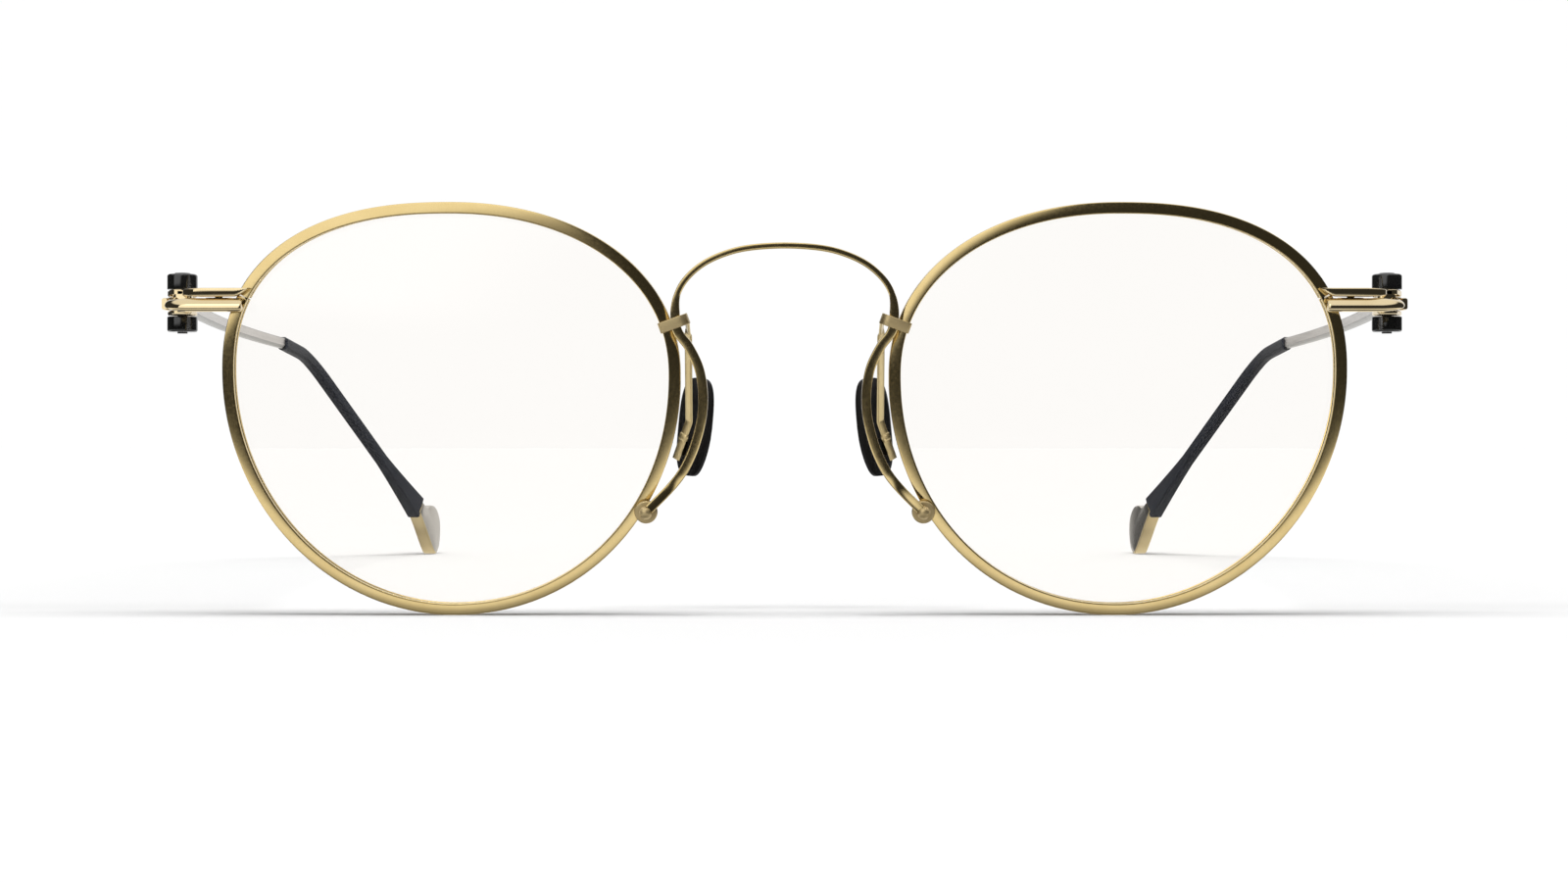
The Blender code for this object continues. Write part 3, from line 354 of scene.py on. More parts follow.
def empty_tree(owner):
    """The cleared node tree of a material, lamp or world."""
    owner.use_nodes = True
    owner.node_tree.nodes.clear()
    return owner.node_tree


def new_material(name):
    """An empty node material, its tree, and its grain coordinates in metres."""
    material = bpy.data.materials.new(name)
    tree = empty_tree(material)
    return material, tree, add_node(tree, "TexCoord").outputs["Object"]


def finish_material(tree, inputs):
    shader = add_node(tree, "BsdfPrincipled", inputs)
    add_node(tree, "OutputMaterial", {"Surface": shader})


def grained_finish(name, drift, tones, grain, gloss, relief, surface):
    """A finish whose tone drifts slowly over a fine grain in millimetres."""
    # The real grain is too fine to show, so it is drawn coarser
    material, tree, place = new_material(name)
    slow = add_node(tree, "TexNoise", {"Vector": place, **drift})
    fine = add_node(tree, "TexNoise", {"Vector": place, "Scale": 1 / (grain * MM), "Detail": 2.0})
    tone = add_node(tree, "ValToRGB", {"Fac": slow})
    for stop, (position, colour) in zip(tone.color_ramp.elements, tones):
        stop.position = position
        stop.color = linear(colour)
    rough = add_node(tree, "MapRange", {"Value": fine, **gloss})
    bump = add_node(tree, "Bump", {"Height": fine, **relief})
    finish_material(tree, {"Base Color": tone, "Roughness": rough, "Normal": bump, **surface})
    return material


def plated_metal(name, colour, worn, roughness, spread, grain, depth):
    """A plated, brushed or blackened metal, a little worn in places."""
    low = roughness - spread
    high = roughness + spread
    return grained_finish(
        name, drift={"Scale": 1 / (4.0 * MM), "Detail": 3.0}, tones=((0.3, worn), (0.7, colour)),
        grain=grain, gloss={"From Min": 0.25, "From Max": 0.75, "To Min": low, "To Max": high},
        relief={"Strength": depth, "Distance": 0.002 * MM}, surface={"Metallic": 1.0},
    )


def satin_gold_plate():
    # Blasted, then gold plated: an even antique gold whose faint grain softens what it mirrors
    return plated_metal(
        "satin_gold_plate", "#cfb985", "#c9b27c", roughness=0.15, spread=0.03, grain=0.3, depth=0.1,
    )


def fine_gold_plate():
    # The small fittings are plated a paler gold over a tumbled surface, so they glow more softly
    return plated_metal(
        "tumbled_pale_gold_plate", "#d9c697", "#cfba89",
        roughness=0.33, spread=0.05, grain=0.3, depth=0.1,
    )


def blasted_gold_plate():
    # The bands are bead-blasted before plating: a dull gold that mirrors nothing sharply
    return plated_metal(
        "bead_blasted_gold_plate", "#cdb98c", "#c2ad80",
        roughness=0.5, spread=0.05, grain=0.25, depth=0.1,
    )


def polished_gold_plate():
    # Buffed before plating: pale gold, nearly a mirror
    return plated_metal(
        "polished_pale_gold_plate", "#dccaa2", "#d3bf95",
        roughness=0.07, spread=0.02, grain=0.5, depth=0.05,
    )


def brushed_silver():
    """Silver-grey temple: drawn bar, brushed along its length."""
    # Fine lines along the bar stretch the highlights; its top and bottom are painted darker than its sides,
    # past a painted dark line at the corners, as painted shade.
    # Real lines are too fine to show, so they are drawn wider.
    material, tree, place = new_material("brushed_silver_bar")
    lines = add_node(tree, "Mapping", {"Vector": place, "Scale": (1.0, 0.02, 1.0)})
    brush = add_node(tree, "TexNoise", {"Vector": lines, "Scale": 1 / (0.18 * MM)})
    # Painted shade: the tone follows which way the surface faces, darker on the top and bottom and darkest
    # in a line at the corners
    facing = add_node(tree, "SeparateXYZ", {"Vector": add_node(tree, "TexCoord").outputs["Normal"]})
    edge = add_node(tree, "Math", {0: facing.outputs["Z"]}, operation="ABSOLUTE")
    tone = add_node(tree, "ValToRGB", {"Fac": edge})
    painted_edge_shades = tone.color_ramp.elements
    painted_edge_shades[0].position = 0.2
    painted_edge_shades[0].color = linear("#c8c3bd")
    painted_edge_shades[1].position = 0.66
    painted_edge_shades[1].color = linear("#a5a39d")
    painted_edge_shades.new(0.4).color = linear("#4f4d4b")
    gloss = add_node(tree, "MapRange", {"Value": brush, "To Min": 0.22, "To Max": 0.42})
    bump = add_node(tree, "Bump", {"Height": brush, "Strength": 0.15, "Distance": 0.01 * MM})
    finish_material(tree, {"Base Color": tone, "Metallic": 1.0, "Roughness": gloss, "Normal": bump})
    return material


def brushed_tip_face():
    # The tips' faces are brushed in all directions, so they blur what they mirror and show no lines
    return plated_metal(
        "brushed_silver_face", "#c6c1b8", "#bdb8ae", roughness=0.3, spread=0.05, grain=0.2, depth=0.08,
    )


def blackened_steel():
    # Oxidised screws: nearly black metal with a dull, slightly uneven sheen
    return plated_metal(
        "blackened_steel", "#4a4947", "#3b3a39", roughness=0.32, spread=0.06, grain=0.3, depth=0.2,
    )


def black_lacquer():
    """Lacquered nuts: polished black under a clear coat."""
    # A deep black that shows only what it mirrors, with a trace of orange peel
    material, tree, place = new_material("polished_black_lacquer")
    peel = add_node(tree, "TexNoise", {"Vector": place, "Scale": 1 / (0.6 * MM), "Detail": 1.0})
    tone = add_node(tree, "ValToRGB", {"Fac": peel})
    tone.color_ramp.elements[0].color = linear("#0b0b0b")
    tone.color_ramp.elements[1].color = linear("#131312")
    bump = add_node(tree, "Bump", {"Height": peel, "Strength": 0.02, "Distance": 0.01 * MM})
    finish_material(tree, {
        "Base Color": tone, "Roughness": 0.07, "IOR": 1.5,
        "Coat Weight": 0.3, "Coat Roughness": 0.03, "Normal": bump,
    })
    return material


def moulded_plastic(name, colour, lighter, roughness, shine, grain, depth):
    """A moulded piece with faint clouds and a fine mould texture."""
    return grained_finish(
        name, drift={"Scale": 1 / (5.0 * MM), "Detail": 4.0}, tones=((0.3, colour), (0.75, lighter)),
        grain=grain, gloss={"To Min": roughness - 0.06, "To Max": roughness + 0.06},
        relief={"Strength": depth, "Distance": 0.02 * MM}, surface={"Specular IOR Level": shine},
    )


def navy_acetate():
    # Cellulose acetate, tumbled: blue-black with a soft sheen and faint clouds
    return moulded_plastic(
        "tumbled_navy_acetate", "#191b21", "#1f2127", roughness=0.5, shine=0.04, grain=0.3, depth=0.1,
    )


def black_silicone():
    # Moulded silicone: matt black with a soft, slightly dusty skin
    return moulded_plastic(
        "moulded_black_silicone", "#0b0a0a", "#0f0e0e", roughness=0.5, shine=0.15, grain=0.25, depth=0.1,
    )


def lens_resin():
    """Cast lens resin with a hard coat."""
    # Clear with a trace of warm tint, so white behind it turns faintly cream. Its coat leaves about a
    # third of the bare resin's reflection, so the index is set low to suit.
    material, tree, place = new_material("cast_lens_resin")
    veil = add_node(tree, "TexNoise", {"Vector": place, "Scale": 1 / (20.0 * MM), "Detail": 1.0})
    tint = add_node(tree, "ValToRGB", {"Fac": veil})
    tint.color_ramp.elements[0].color = linear("#fefcf9")
    tint.color_ramp.elements[1].color = linear("#fdfbf8")
    finish_material(tree, {
        "Base Color": tint, "Roughness": 0.0, "IOR": 1.25, "Transmission Weight": 1.0,
    })
    return material


def pale_floor():
    # Matt white studio board, toned down under the lamps to look evenly white; its tooth is too fine to
    # show, so it is drawn coarser
    material, tree, place = new_material("matt_studio_board")
    tooth = add_node(tree, "TexNoise", {"Vector": place, "Scale": 1 / (2.0 * MM), "Detail": 2.0})
    light = ROOM_LIGHT
    for x in lamp_row():
        foot = (x, FRONT.translation.y - LAMP_AHEAD, 0.0)
        aside = add_node(tree, "VectorMath", {0: place, 1: foot}, operation="SUBTRACT")
        square = add_node(tree, "VectorMath", {0: aside, 1: aside}, operation="DOT_PRODUCT")
        share = {0: square.outputs["Value"], 1: LAMP_HEIGHT ** -2, 2: 1.0}
        reach = add_node(tree, "Math", share, operation="MULTIPLY_ADD")
        fall = add_node(tree, "Math", {0: reach, 1: -2.0}, operation="POWER")
        share = {0: fall, 1: LAMP_LIGHT / LAMP_COUNT, 2: light}
        light = add_node(tree, "Math", share, operation="MULTIPLY_ADD")
    white = add_node(tree, "MapRange", {
        "Value": tooth, "To Min": FLOOR_WHITE, "To Max": FLOOR_WHITE + FLOOR_TOOTH,
    })
    tone = add_node(tree, "Math", {0: white, 1: light}, operation="DIVIDE")
    finish_material(tree, {"Base Color": tone, "Roughness": 0.9, "Specular IOR Level": 0.0})
    return material


def between(low, high, share):
    return low + (high - low) * share


def circle(steps):
    """Angles once round."""
    return [2 * pi * i / steps for i in range(steps)]


def skin(rings):
    """A mesh over rings of equal count, with filled ends."""
    count = len(rings[0])
    points = [tuple(point) for ring in rings for point in ring]
    last = len(points) - count
    faces = []
    for row in range(0, last, count):
        for i in range(count):
            j = (i + 1) % count
            faces.append((row + i, row + j, row + count + j, row + count + i))
    faces.append(tuple(reversed(range(count))))
    faces.append(tuple(range(last, last + count)))
    mesh = bpy.data.meshes.new("skin")
    mesh.from_pydata(points, [], faces)
    mesh.update()
    return mesh


def arc(centre, radius, start, sweep, steps):
    """Points of an arc, as (across, up)."""
    angles = [start + sweep * i / steps for i in range(steps + 1)]
    return [(centre[0] + radius * cos(a), centre[1] + radius * sin(a)) for a in angles]


def rounded_section(width, height, corner, steps=3):
    """A rectangle with round corners, anticlockwise."""
    x = width / 2
    y = height / 2
    return round_corners([(x, y), (-x, y), (-x, -y), (x, -y)], [corner] * 4, steps)


def round_corner(before, corner, after, radius, steps):
    """Points round a corner between two straight runs."""
    inward = (before - corner).normalized()
    outward = (after - corner).normalized()
    half = inward.angle(outward) / 2
    reach = radius / tan(half)
    centre = corner + (inward + outward).normalized() * (radius / sin(half))
    start = (corner + inward * reach - centre).normalized()
    end = (corner + outward * reach - centre).normalized()
    return [centre + start.slerp(end, i / steps) * radius for i in range(steps + 1)]


def round_corners(outline, radii, steps=4):
    """A closed outline with each corner rounded by its radius; 0 keeps the corner."""
    corners = [Vector(point) for point in outline]
    points = []
    for i, radius in enumerate(radii):
        if radius == 0:
            points.append(corners[i])
        else:
            after = corners[(i + 1) % len(corners)]
            points += round_corner(corners[i - 1], corners[i], after, radius, steps)
    return points


def smooth_route(points, steps):
    """A smooth curve through points, with its ends carried straight on."""
    ends = [2 * points[0] - points[1]] + points + [2 * points[-1] - points[-2]]
    route = []
    for before, start, end, after in zip(ends, ends[1:], ends[2:], ends[3:]):
        for i in range(steps):
            t = i / steps
            route.append(
                start
                + (end - before) * (t / 2)
                + (2 * before - 5 * start + 4 * end - after) * (t * t / 2)
                + (3 * start - before - 3 * end + after) * (t ** 3 / 2)
            )
    route.append(points[-1])
    return route


def rounded_route(points, radius, steps):
    """Straight runs through points with the inner corners rounded."""
    route = [points[0]]
    for before, corner, after in zip(points, points[1:], points[2:]):
        route += round_corner(before, corner, after, radius, steps)
    return route + [points[-1]]


def direction(route, index):
    before = route[max(index - 1, 0)]
    after = route[min(index + 1, len(route) - 1)]
    return (after - before).normalized()


def sweep(route, section_at, facing):
    """Rings of a section along a route; the section's second axis keeps to the facing direction."""
    rings = []
    for index, centre in enumerate(route):
        along = direction(route, index)
        face = (facing - along * facing.dot(along)).normalized()
        side = along.cross(face)
        rings.append([centre + side * x + face * y for x, y in section_at(index)])
    return rings


def turned(profile, steps=48):
    """A profile of (radius, height) turned about Z."""
    rings = []
    for radius, height in profile:
        rings.append([(radius * cos(a), radius * sin(a), height) for a in circle(steps)])
    return skin(rings)


def put(name, data):
    """A new object for a mesh, lamp or camera, in the scene."""
    thing = bpy.data.objects.new(name, data)
    bpy.context.scene.collection.objects.link(thing)
    return thing


def show(mesh, name, material, body, nodes):
    """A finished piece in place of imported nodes, riding on their body."""
    mesh.materials.clear()
    mesh.materials.append(material)
    mesh.shade_smooth()
    mesh.set_sharp_from_angle(angle=SHARP_ANGLE)
    piece = put(name, mesh)
    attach(piece, body)
    if nodes:
        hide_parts(*nodes)
    return piece


def show_pair(mesh, name, material, body, replaced):
    """A left piece and its mirrored right one; {side} in the body stands for the side."""
    mirror = Matrix.Scale(-1, 4, (1, 0, 0))
    pieces = []
    for side in SIDES:
        own = mesh
        if side == "right":
            own = mesh.copy()
            own.transform(mirror)
            own.flip_normals()
        nodes = [f"{side}_{node}" for node in replaced]
        pieces.append(show(own, f"{side}_{name}", material, body.format(side=side), nodes))
    return pieces


def on_front(rings):
    """Rings drawn in the upright plane of the front, leaned back with it."""
    return [[FRONT @ point for point in ring] for ring in rings]


def lens_centre():
    return BETWEEN_LENSES / 2 + LENS_WIDTH / 2, LENS_BELOW + RIM_WALL


def beside_nose(inward, up, back=0.0):
    """A place in the upright front: inward from the lens's nose side, up from its middle, and back."""
    return Vector((BETWEEN_LENSES / 2 - inward, back, lens_centre()[1] + up))


def beside_temple(outward):
    return BETWEEN_LENSES / 2 + LENS_WIDTH + outward


def lens_edge(angle):
    """The lens outline at an angle about its middle, and its outward direction, temple side at 0."""
    across = cos(angle)
    up = sin(angle)
    half = LENS_WIDTH / 2
    tall = LENS_ABOVE if up >= 0 else LENS_BELOW
    if up >= 0:
        power = ROUND_TOP_TEMPLE if across >= 0 else ROUND_TOP_NOSE
    else:
        power = ROUND_BOTTOM_TEMPLE if across >= 0 else ROUND_BOTTOM_NOSE
    reach = (abs(across / half) ** power + abs(up / tall) ** power) ** (-1 / power)
    point = Vector((reach * across, reach * up))
    slope_x = copysign(abs(point.x / half) ** (power - 1) / half, across)
    slope_z = copysign(abs(point.y / tall) ** (power - 1) / tall, up)
    return point, Vector((slope_x, slope_z)).normalized()


def outline_angle(height):
    """The angle at which the outline's upper temple side reaches a height in the front."""
    low = 0.0
    high = pi / 2
    for _ in range(OUTLINE_HALVINGS):
        angle = (low + high) / 2
        if lens_centre()[1] + lens_edge(angle)[0].y < height:
            low = angle
        else:
            high = angle
    return angle


def rim_section():
    """The rim's section as (outward from the lens edge, forward)."""
    back = RIM_FRONT - RIM_DEPTH
    groove = GROOVE_WIDTH / 2
    inside = sin(RIM_ROLL_INSIDE)
    radius = (RIM_OUTSIDE + RIM_LIP) / (sin(RIM_ROLL_OUTSIDE) - inside)
    face = []
    for i in range(RIM_ROLL_STEPS + 1):
        roll = between(RIM_ROLL_OUTSIDE, RIM_ROLL_INSIDE, i / RIM_ROLL_STEPS)
        fall = radius * (cos(RIM_ROLL_INSIDE) - cos(roll))
        face.append((radius * (sin(roll) - inside) - RIM_LIP, RIM_FRONT - fall))
    corners = face + [
        (-RIM_LIP, groove), (GROOVE_DEPTH - RIM_LIP, 0.0), (-RIM_LIP, -groove),
        (-RIM_LIP, back), (RIM_OUTSIDE, back),
    ]
    radii = [RIM_EDGE] + [0] * (RIM_ROLL_STEPS - 1) + [RIM_EDGE, 0, 0, 0, RIM_BACK_EDGE, RIM_BACK_EDGE]
    return round_corners(corners, radii)


def make_rims(material):
    """Eye wires, split behind the end pieces."""
    section = rim_section()
    split = outline_angle(END_LINE)
    gap = RIM_SPLIT / LENS_WIDTH
    middle = Vector(lens_centre())
    rings = []
    for i in range(OUTLINE_STEPS + 1):
        angle = split + gap + (2 * pi - 2 * gap) * i / OUTLINE_STEPS
        point, outward = lens_edge(angle % (2 * pi))
        ring = []
        for out, forward in section:
            spot = middle + point + outward * out
            ring.append(FRONT @ Vector((spot.x, -forward, spot.y)))
        rings.append(ring)
    show_pair(skin(rings), "eye_wire", material, "front", ["rim"])


def make_lenses(material):
    """Domed lenses with a bevelled edge."""
    middle = Vector(lens_centre())
    edge = LENS_THICKNESS / 2
    front = []
    back = []
    outline = [lens_edge(angle) for angle in circle(OUTLINE_STEPS)]
    for share in LENS_RINGS:
        rise = LENS_DOME * (1 - share ** 2)
        spots = [middle + (point - outward * LENS_BEVEL) * share for point, outward in outline]
        front.append([FRONT @ Vector((spot.x, -edge - rise, spot.y)) for spot in spots])
        back.append([FRONT @ Vector((spot.x, edge - rise, spot.y)) for spot in spots])
    rim = [FRONT @ Vector((middle.x + point.x, 0.0, middle.y + point.y)) for point, outward in outline]
    rings = front + [rim] + back[::-1]
    show_pair(skin(rings[::-1]), "lens_resin", material, "front", ["lens"])


def bridge_half():
    """The wire's left half, from the crown of its arch down to the rivet."""
    half = []
    for share, up in ARCH_ROUTE:
        half.append(Vector((share * BETWEEN_LENSES / 2, WIRE_DEPTH, lens_centre()[1] + up * MM)))
    for inward, up in STRAP_ROUTE:
        half.append(beside_nose(inward * MM, up * MM, WIRE_DEPTH))
    for count, (inward, up) in enumerate(LOOP_ROUTE, 1):
        depth = WIRE_DEPTH + LOOP_SET_BACK * count / len(LOOP_ROUTE)
        half.append(beside_nose(inward * MM, up * MM, depth))
    rivet = beside_nose(-RIVET_OUT, -RIVET_DOWN, -BALL_FRONT)
    half.append(rivet + (half[-1] - rivet).normalized() * WIRE_END_GAP)
    return half


def make_bridge_wire(material):
    """One flat-faced wire from rivet to rivet: thin over the arch, wider in the loops."""
    half = bridge_half()
    other = [Vector((-point.x, point.y, point.z)) for point in reversed(half[1:])]
    route = smooth_route(other + half, WIRE_STEPS)
    crown = len(other) * WIRE_STEPS

    def section_at(index):
        past = abs(index - crown) / WIRE_STEPS - (len(ARCH_ROUTE) - 1)
        width = between(ARCH_WIDTH, WIRE_WIDTH, min(max(past, 0.0), 1.0))
        return rounded_section(width, WIRE_THICKNESS, WIRE_EDGE)

    rings = on_front(sweep(route, section_at, DEPTH))
    show(skin(rings), "bridge_wire_drawn", material, "front", ["bridge_wire"])


def make_straps(material):
    """Bands over the wire: a short leg to the rim, and a long leg that curls back on the nose side."""
    half = (STRAP_LENGTH - STRAP_THICKNESS) / 2
    front = STRAP_THICKNESS / 2 - STRAP_FRONT
    corners = ((half, -RIM_FRONT), (half, front), (-half, front), (-half, front + STRAP_LEG))
    nose = [Vector((x, y, 0.0)) for x, y in corners]
    short = rounded_route(nose[:3], STRAP_RIM_CORNER, STRAP_RIM_STEPS)
    route = short[:-1] + rounded_route([short[-2]] + nose[2:], STRAP_CORNER, STRAP_NOSE_STEPS)[1:]
    section = rounded_section(STRAP_HEIGHT, STRAP_THICKNESS, STRAP_EDGE)
    middle = Matrix.Translation(beside_nose(STRAP_IN, STRAP_UP))
    place = FRONT @ middle @ Matrix.Rotation(STRAP_RISE, 4, "Y")
    rings = []
    for index, centre in enumerate(route):
        along = direction(route, index)
        outward = along.cross(UPRIGHT)
        rings.append([place @ (centre + UPRIGHT * a + outward * b) for a, b in section])
    show_pair(skin(rings), "bridge_band", material, "front", ["bridge_strap"])


def make_rivets(material):
    """Round-edged washers with a ball rivet on each."""
    middle = Matrix.Translation(beside_nose(-RIVET_OUT, -RIVET_DOWN))
    place = FRONT @ middle @ Matrix.Rotation(pi / 2, 4, "X")
    neck = RIVET_NECK / 2
    radius = WASHER_DIAMETER / 2
    inner = radius - WASHER_EDGE
    profile = [(neck, WASHER_BACK), (radius, WASHER_BACK)]
    profile += arc((inner, WASHER_FRONT - WASHER_EDGE), WASHER_EDGE, 0.0, pi / 2, EDGE_STEPS)
    profile += [(neck, WASHER_FRONT)]
    washer = turned(profile)
    washer.transform(place)
    show_pair(washer, "cup_washer", material, "front", ["rivet_washer"])
    centre = (0.0, BALL_FRONT)
    ball = arc(centre, RIVET_BALL / 2, BALL_START, BALL_SWEEP, BALL_STEPS)
    rivet = turned([(neck, WASHER_BACK), (neck, ball[0][1])] + ball)
    rivet.transform(place)
    show_pair(rivet, "ball_rivet", material, "front", ["wire_rivet"])


def end_route(overlap, reach, depth, low, high, end, bend):
    """From the rim's face out past the rim, then back to the hinge."""
    front = END_PIECE_SINK - RIM_FRONT - depth / 2
    start = Vector((beside_temple(-overlap), front, low))
    corner = Vector((beside_temple(reach), front, low))
    return rounded_route([start, corner, Vector((end, END_PIECE_STOP, high))], bend, BEND_STEPS)


def make_upper_bars(material):
    """Flat-faced bars that rise from a thin start on the rim and narrow toward the hinge."""
    height = END_LINE + END_BAR_HEIGHT / 2
    end = beside_temple(HINGE_OUT - END_BAR_INSIDE)
    bends = end_route(END_BAR_OVERLAP, END_BAR_REACH, END_BAR_DEPTH, height, height, end, END_BAR_BEND)
    steps = END_BAR_TAPER_STEPS
    step = END_BAR_TAPER / steps / (bends[1] - bends[0]).length
    route = [bends[0].lerp(bends[1], step * i) for i in range(steps)] + bends[1:]
    bar = rounded_section(END_BAR_DEPTH, END_BAR_HEIGHT, END_BAR_EDGE, steps=4)

    def section_at(index):
        rising = between(END_BAR_START_SHARE, 1.0, sin(pi / 2 * min(index / steps, 1.0)))
        turning = min(max(index - steps, 0) / BEND_STEPS, 1.0)
        share = rising * between(1.0, END_BAR_END_SHARE, turning)
        lift = END_BAR_HEIGHT / 2 * (1 - rising)
        return [(x, z * share + lift) for x, z in bar]

    mesh = skin(on_front(sweep(route, section_at, UPRIGHT)))
    show_pair(mesh, "upper_end_bar_polished", material, "front", ["upper_end_bar"])


def make_lower_tubes(material):
    """Oval tubes turned on edge, with a blunt nose on the rim, that narrow toward the hinge."""
    height = END_LINE - END_PIECE_SPACE / 2 - TUBE_DIAMETER / 2
    end = beside_temple(HINGE_OUT + TUBE_OUTSIDE)
    high = height + TUBE_RISE
    bends = end_route(TUBE_OVERLAP, TUBE_REACH, TUBE_DIAMETER, height, high, end, TUBE_BEND)
    nose = [bends[0].lerp(bends[1], place) for place, share in TUBE_NOSE]
    route = nose + bends[1:]
    turn = Matrix.Rotation(TUBE_TURN, 2)
    oval = []
    for angle in circle(TUBE_STEPS):
        spot = Vector((TUBE_FLAT * cos(angle), TUBE_TALL * sin(angle)))
        oval.append(turn @ spot)

    def section_at(index):
        turning = max(index - len(nose), 0) / (len(route) - 1 - len(nose))
        share = TUBE_NOSE[min(index, len(nose) - 1)][1]
        return [spot * share * between(1.0, TUBE_END_SHARE, turning) for spot in oval]

    mesh = skin(on_front(sweep(route, section_at, UPRIGHT)))
    show_pair(mesh, "lower_end_tube_polished", material, "front", ["lower_end_tube"])


def fork_plate(outline, low, high):
    """A plate of the hinge fork with softened upper and lower edges."""
    middle = sum(outline, Vector((0.0, 0.0))) / len(outline)
    rings = []
    soft = FORK_EDGE_SHARE
    for z, share in ((low, soft), (low + FORK_EDGE, 1.0), (high - FORK_EDGE, 1.0), (high, soft)):
        around = [middle.lerp(point, share) for point in outline]
        rings.append([Vector((HINGE.x + point.x, HINGE.y + point.y, z)) for point in around])
    return skin(rings)


def make_hinge_forks(material):
    """Forks on the front: round leaves above and below the knuckle, joined by a web."""
    low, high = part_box("left_front_hinge")
    corners = [(-FORK_INSIDE, -FORK_REACH), (FORK_OUTSIDE, -FORK_REACH)]
    back = arc((0.0, 0.0), FORK_RADIUS, FORK_ROUND_START, pi - FORK_ROUND_START, FORK_ROUND_STEPS)
    leaf = round_corners(corners + back, [FORK_CORNER] * 2 + [0.0] * len(back), FORK_CORNER_STEPS)
    foot = [(FORK_OUTSIDE, -FORK_WEB_BACK), (-FORK_INSIDE, -FORK_WEB_BACK)]
    web = round_corners(corners + foot, [FORK_CORNER] * 4, FORK_CORNER_STEPS)
    plates = (
        ("upper_hinge_leaf", leaf, HINGE.z + FORK_SLOT, high.z, ["front_hinge"]),
        ("lower_hinge_leaf", leaf, low.z, HINGE.z - FORK_SLOT, []),
        ("hinge_web", web, low.z + FORK_EDGE, high.z - FORK_EDGE, []),
    )
    for name, outline, base, top, nodes in plates:
        show_pair(fork_plate(outline, base, top), name, material, "front", nodes)


def make_hinge_stops(material):
    """Small upright plates on the outside of the temples' hinge knuckles."""
    middle = (STOP_INNER + STOP_OUTER) / 2
    section = rounded_section(STOP_OUTER - STOP_INNER, STOP_HEIGHT, STOP_EDGE)
    front = -STOP_FRONT
    nose = STOP_NOSE_SHARE
    rings = []
    for y, share in ((front, nose), (front + STOP_EDGE, 1.0), (STOP_BACK, 1.0)):
        rings.append([HINGE + Vector((middle - x * share, y, z * share)) for x, z in section])
    show_pair(skin(rings), "hinge_stop", material, "{side}_temple", [])


def make_knobs(material):
    """Polished nuts above and below the hinge, with rounded edges; the top one carries a low bump."""
    radius = KNOB_DIAMETER / 2
    quarter = pi / 2
    bump = radius * KNOB_BUMP_SHARE
    knobs = (
        ("top_knob", KNOB_SEAT_EDGE, KNOB_EDGE, KNOB_BUMP), ("bottom_knob", KNOB_EDGE, KNOB_SEAT_EDGE, 0.0),
    )
    for node, below, above, rise in knobs:
        low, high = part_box("left_" + node)
        top = high.z - rise
        profile = [(KNOB_AXIS, low.z)]
        profile += arc((radius - below, low.z + below), below, -quarter, quarter, EDGE_STEPS)
        profile += arc((radius - above, top - above), above, 0.0, quarter, EDGE_STEPS)
        if rise:
            profile += [(bump + rise, top), (bump, high.z)]
        profile += [(KNOB_AXIS, high.z)]
        knob = turned(profile, KNOB_STEPS)
        knob.transform(Matrix.Translation((HINGE.x, HINGE.y, 0.0)))
        show_pair(knob, node + "_lacquered", material, "front", [node])


def make_temple_bars(material):
    """Slightly bowed bars with their lower inner edge bevelled, from the hinge into the sleeve."""
    shares = [i / BAR_STEPS for i in range(BAR_STEPS + 1)]
    route = [HINGE + BAR_START.lerp(SLEEVE_START, s) + BAR_BOW * 4 * s * (1 - s) for s in shares]
    route.append(HINGE + SLEEVE_START.lerp(TEMPLE_BEND, BAR_INTO_SLEEVE))
    x = BAR_THICKNESS / 2
    y = BAR_HEIGHT / 2
    corners = [(x, -y), (x, y), (-x, y), (-x, BAR_BEVEL - y), (BAR_BEVEL - x, -y)]
    section = round_corners(corners, [BAR_EDGE] * len(corners), steps=3)
    rings = sweep(route, lambda index: section, UPRIGHT)
    show_pair(skin(rings), "temple_bar_brushed", material, "{side}_temple", ["temple_bar"])


def sleeve_section(thickness, height, facet):
    """An eight-sided section with softened corners."""
    cut = min(thickness, height) * facet
    x = thickness / 2
    y = height / 2
    corners = [
        (x, cut - y), (x, y - cut), (x - cut, y), (cut - x, y),
        (-x, y - cut), (-x, cut - y), (cut - x, -y), (x - cut, -y),
    ]
    return round_corners(corners, [SLEEVE_EDGE] * len(corners), steps=2)


def make_sleeves(material):
    """Dark sleeves that bend down behind the ear and flare to a faceted end."""
    bends = rounded_route([SLEEVE_START, TEMPLE_BEND, SLEEVE_END], BEND_RADIUS, BEND_STEPS)
    flare = bends[-2].lerp(bends[-1], FLARE_SHARE)
    straight = [bends[-2].lerp(flare, i / SLEEVE_STEPS) for i in range(1, SLEEVE_STEPS + 1)]
    flared = [flare.lerp(bends[-1], i / FLARE_STEPS) for i in range(1, FLARE_STEPS + 1)]
    route = [HINGE + point for point in bends[:-1] + straight + flared]
    flare_from = len(route) - 1 - FLARE_STEPS

    def section_at(index):
        height = between(SLEEVE_START_HEIGHT, SLEEVE_BEND_HEIGHT, min(index / flare_from, 1.0))
        flaring = max(index - flare_from, 0) / FLARE_STEPS
        height += (SLEEVE_END_HEIGHT - SLEEVE_BEND_HEIGHT) * flaring ** FLARE_POWER
        thickness = between(SLEEVE_THICKNESS, SLEEVE_END_THICKNESS, flaring)
        return sleeve_section(thickness, height, between(SLEEVE_FACET, SLEEVE_END_FACET, flaring))

    mesh = skin(sweep(route, section_at, UPRIGHT))
    show_pair(mesh, "sleeve_acetate", material, "{side}_temple", ["temple_sleeve"])


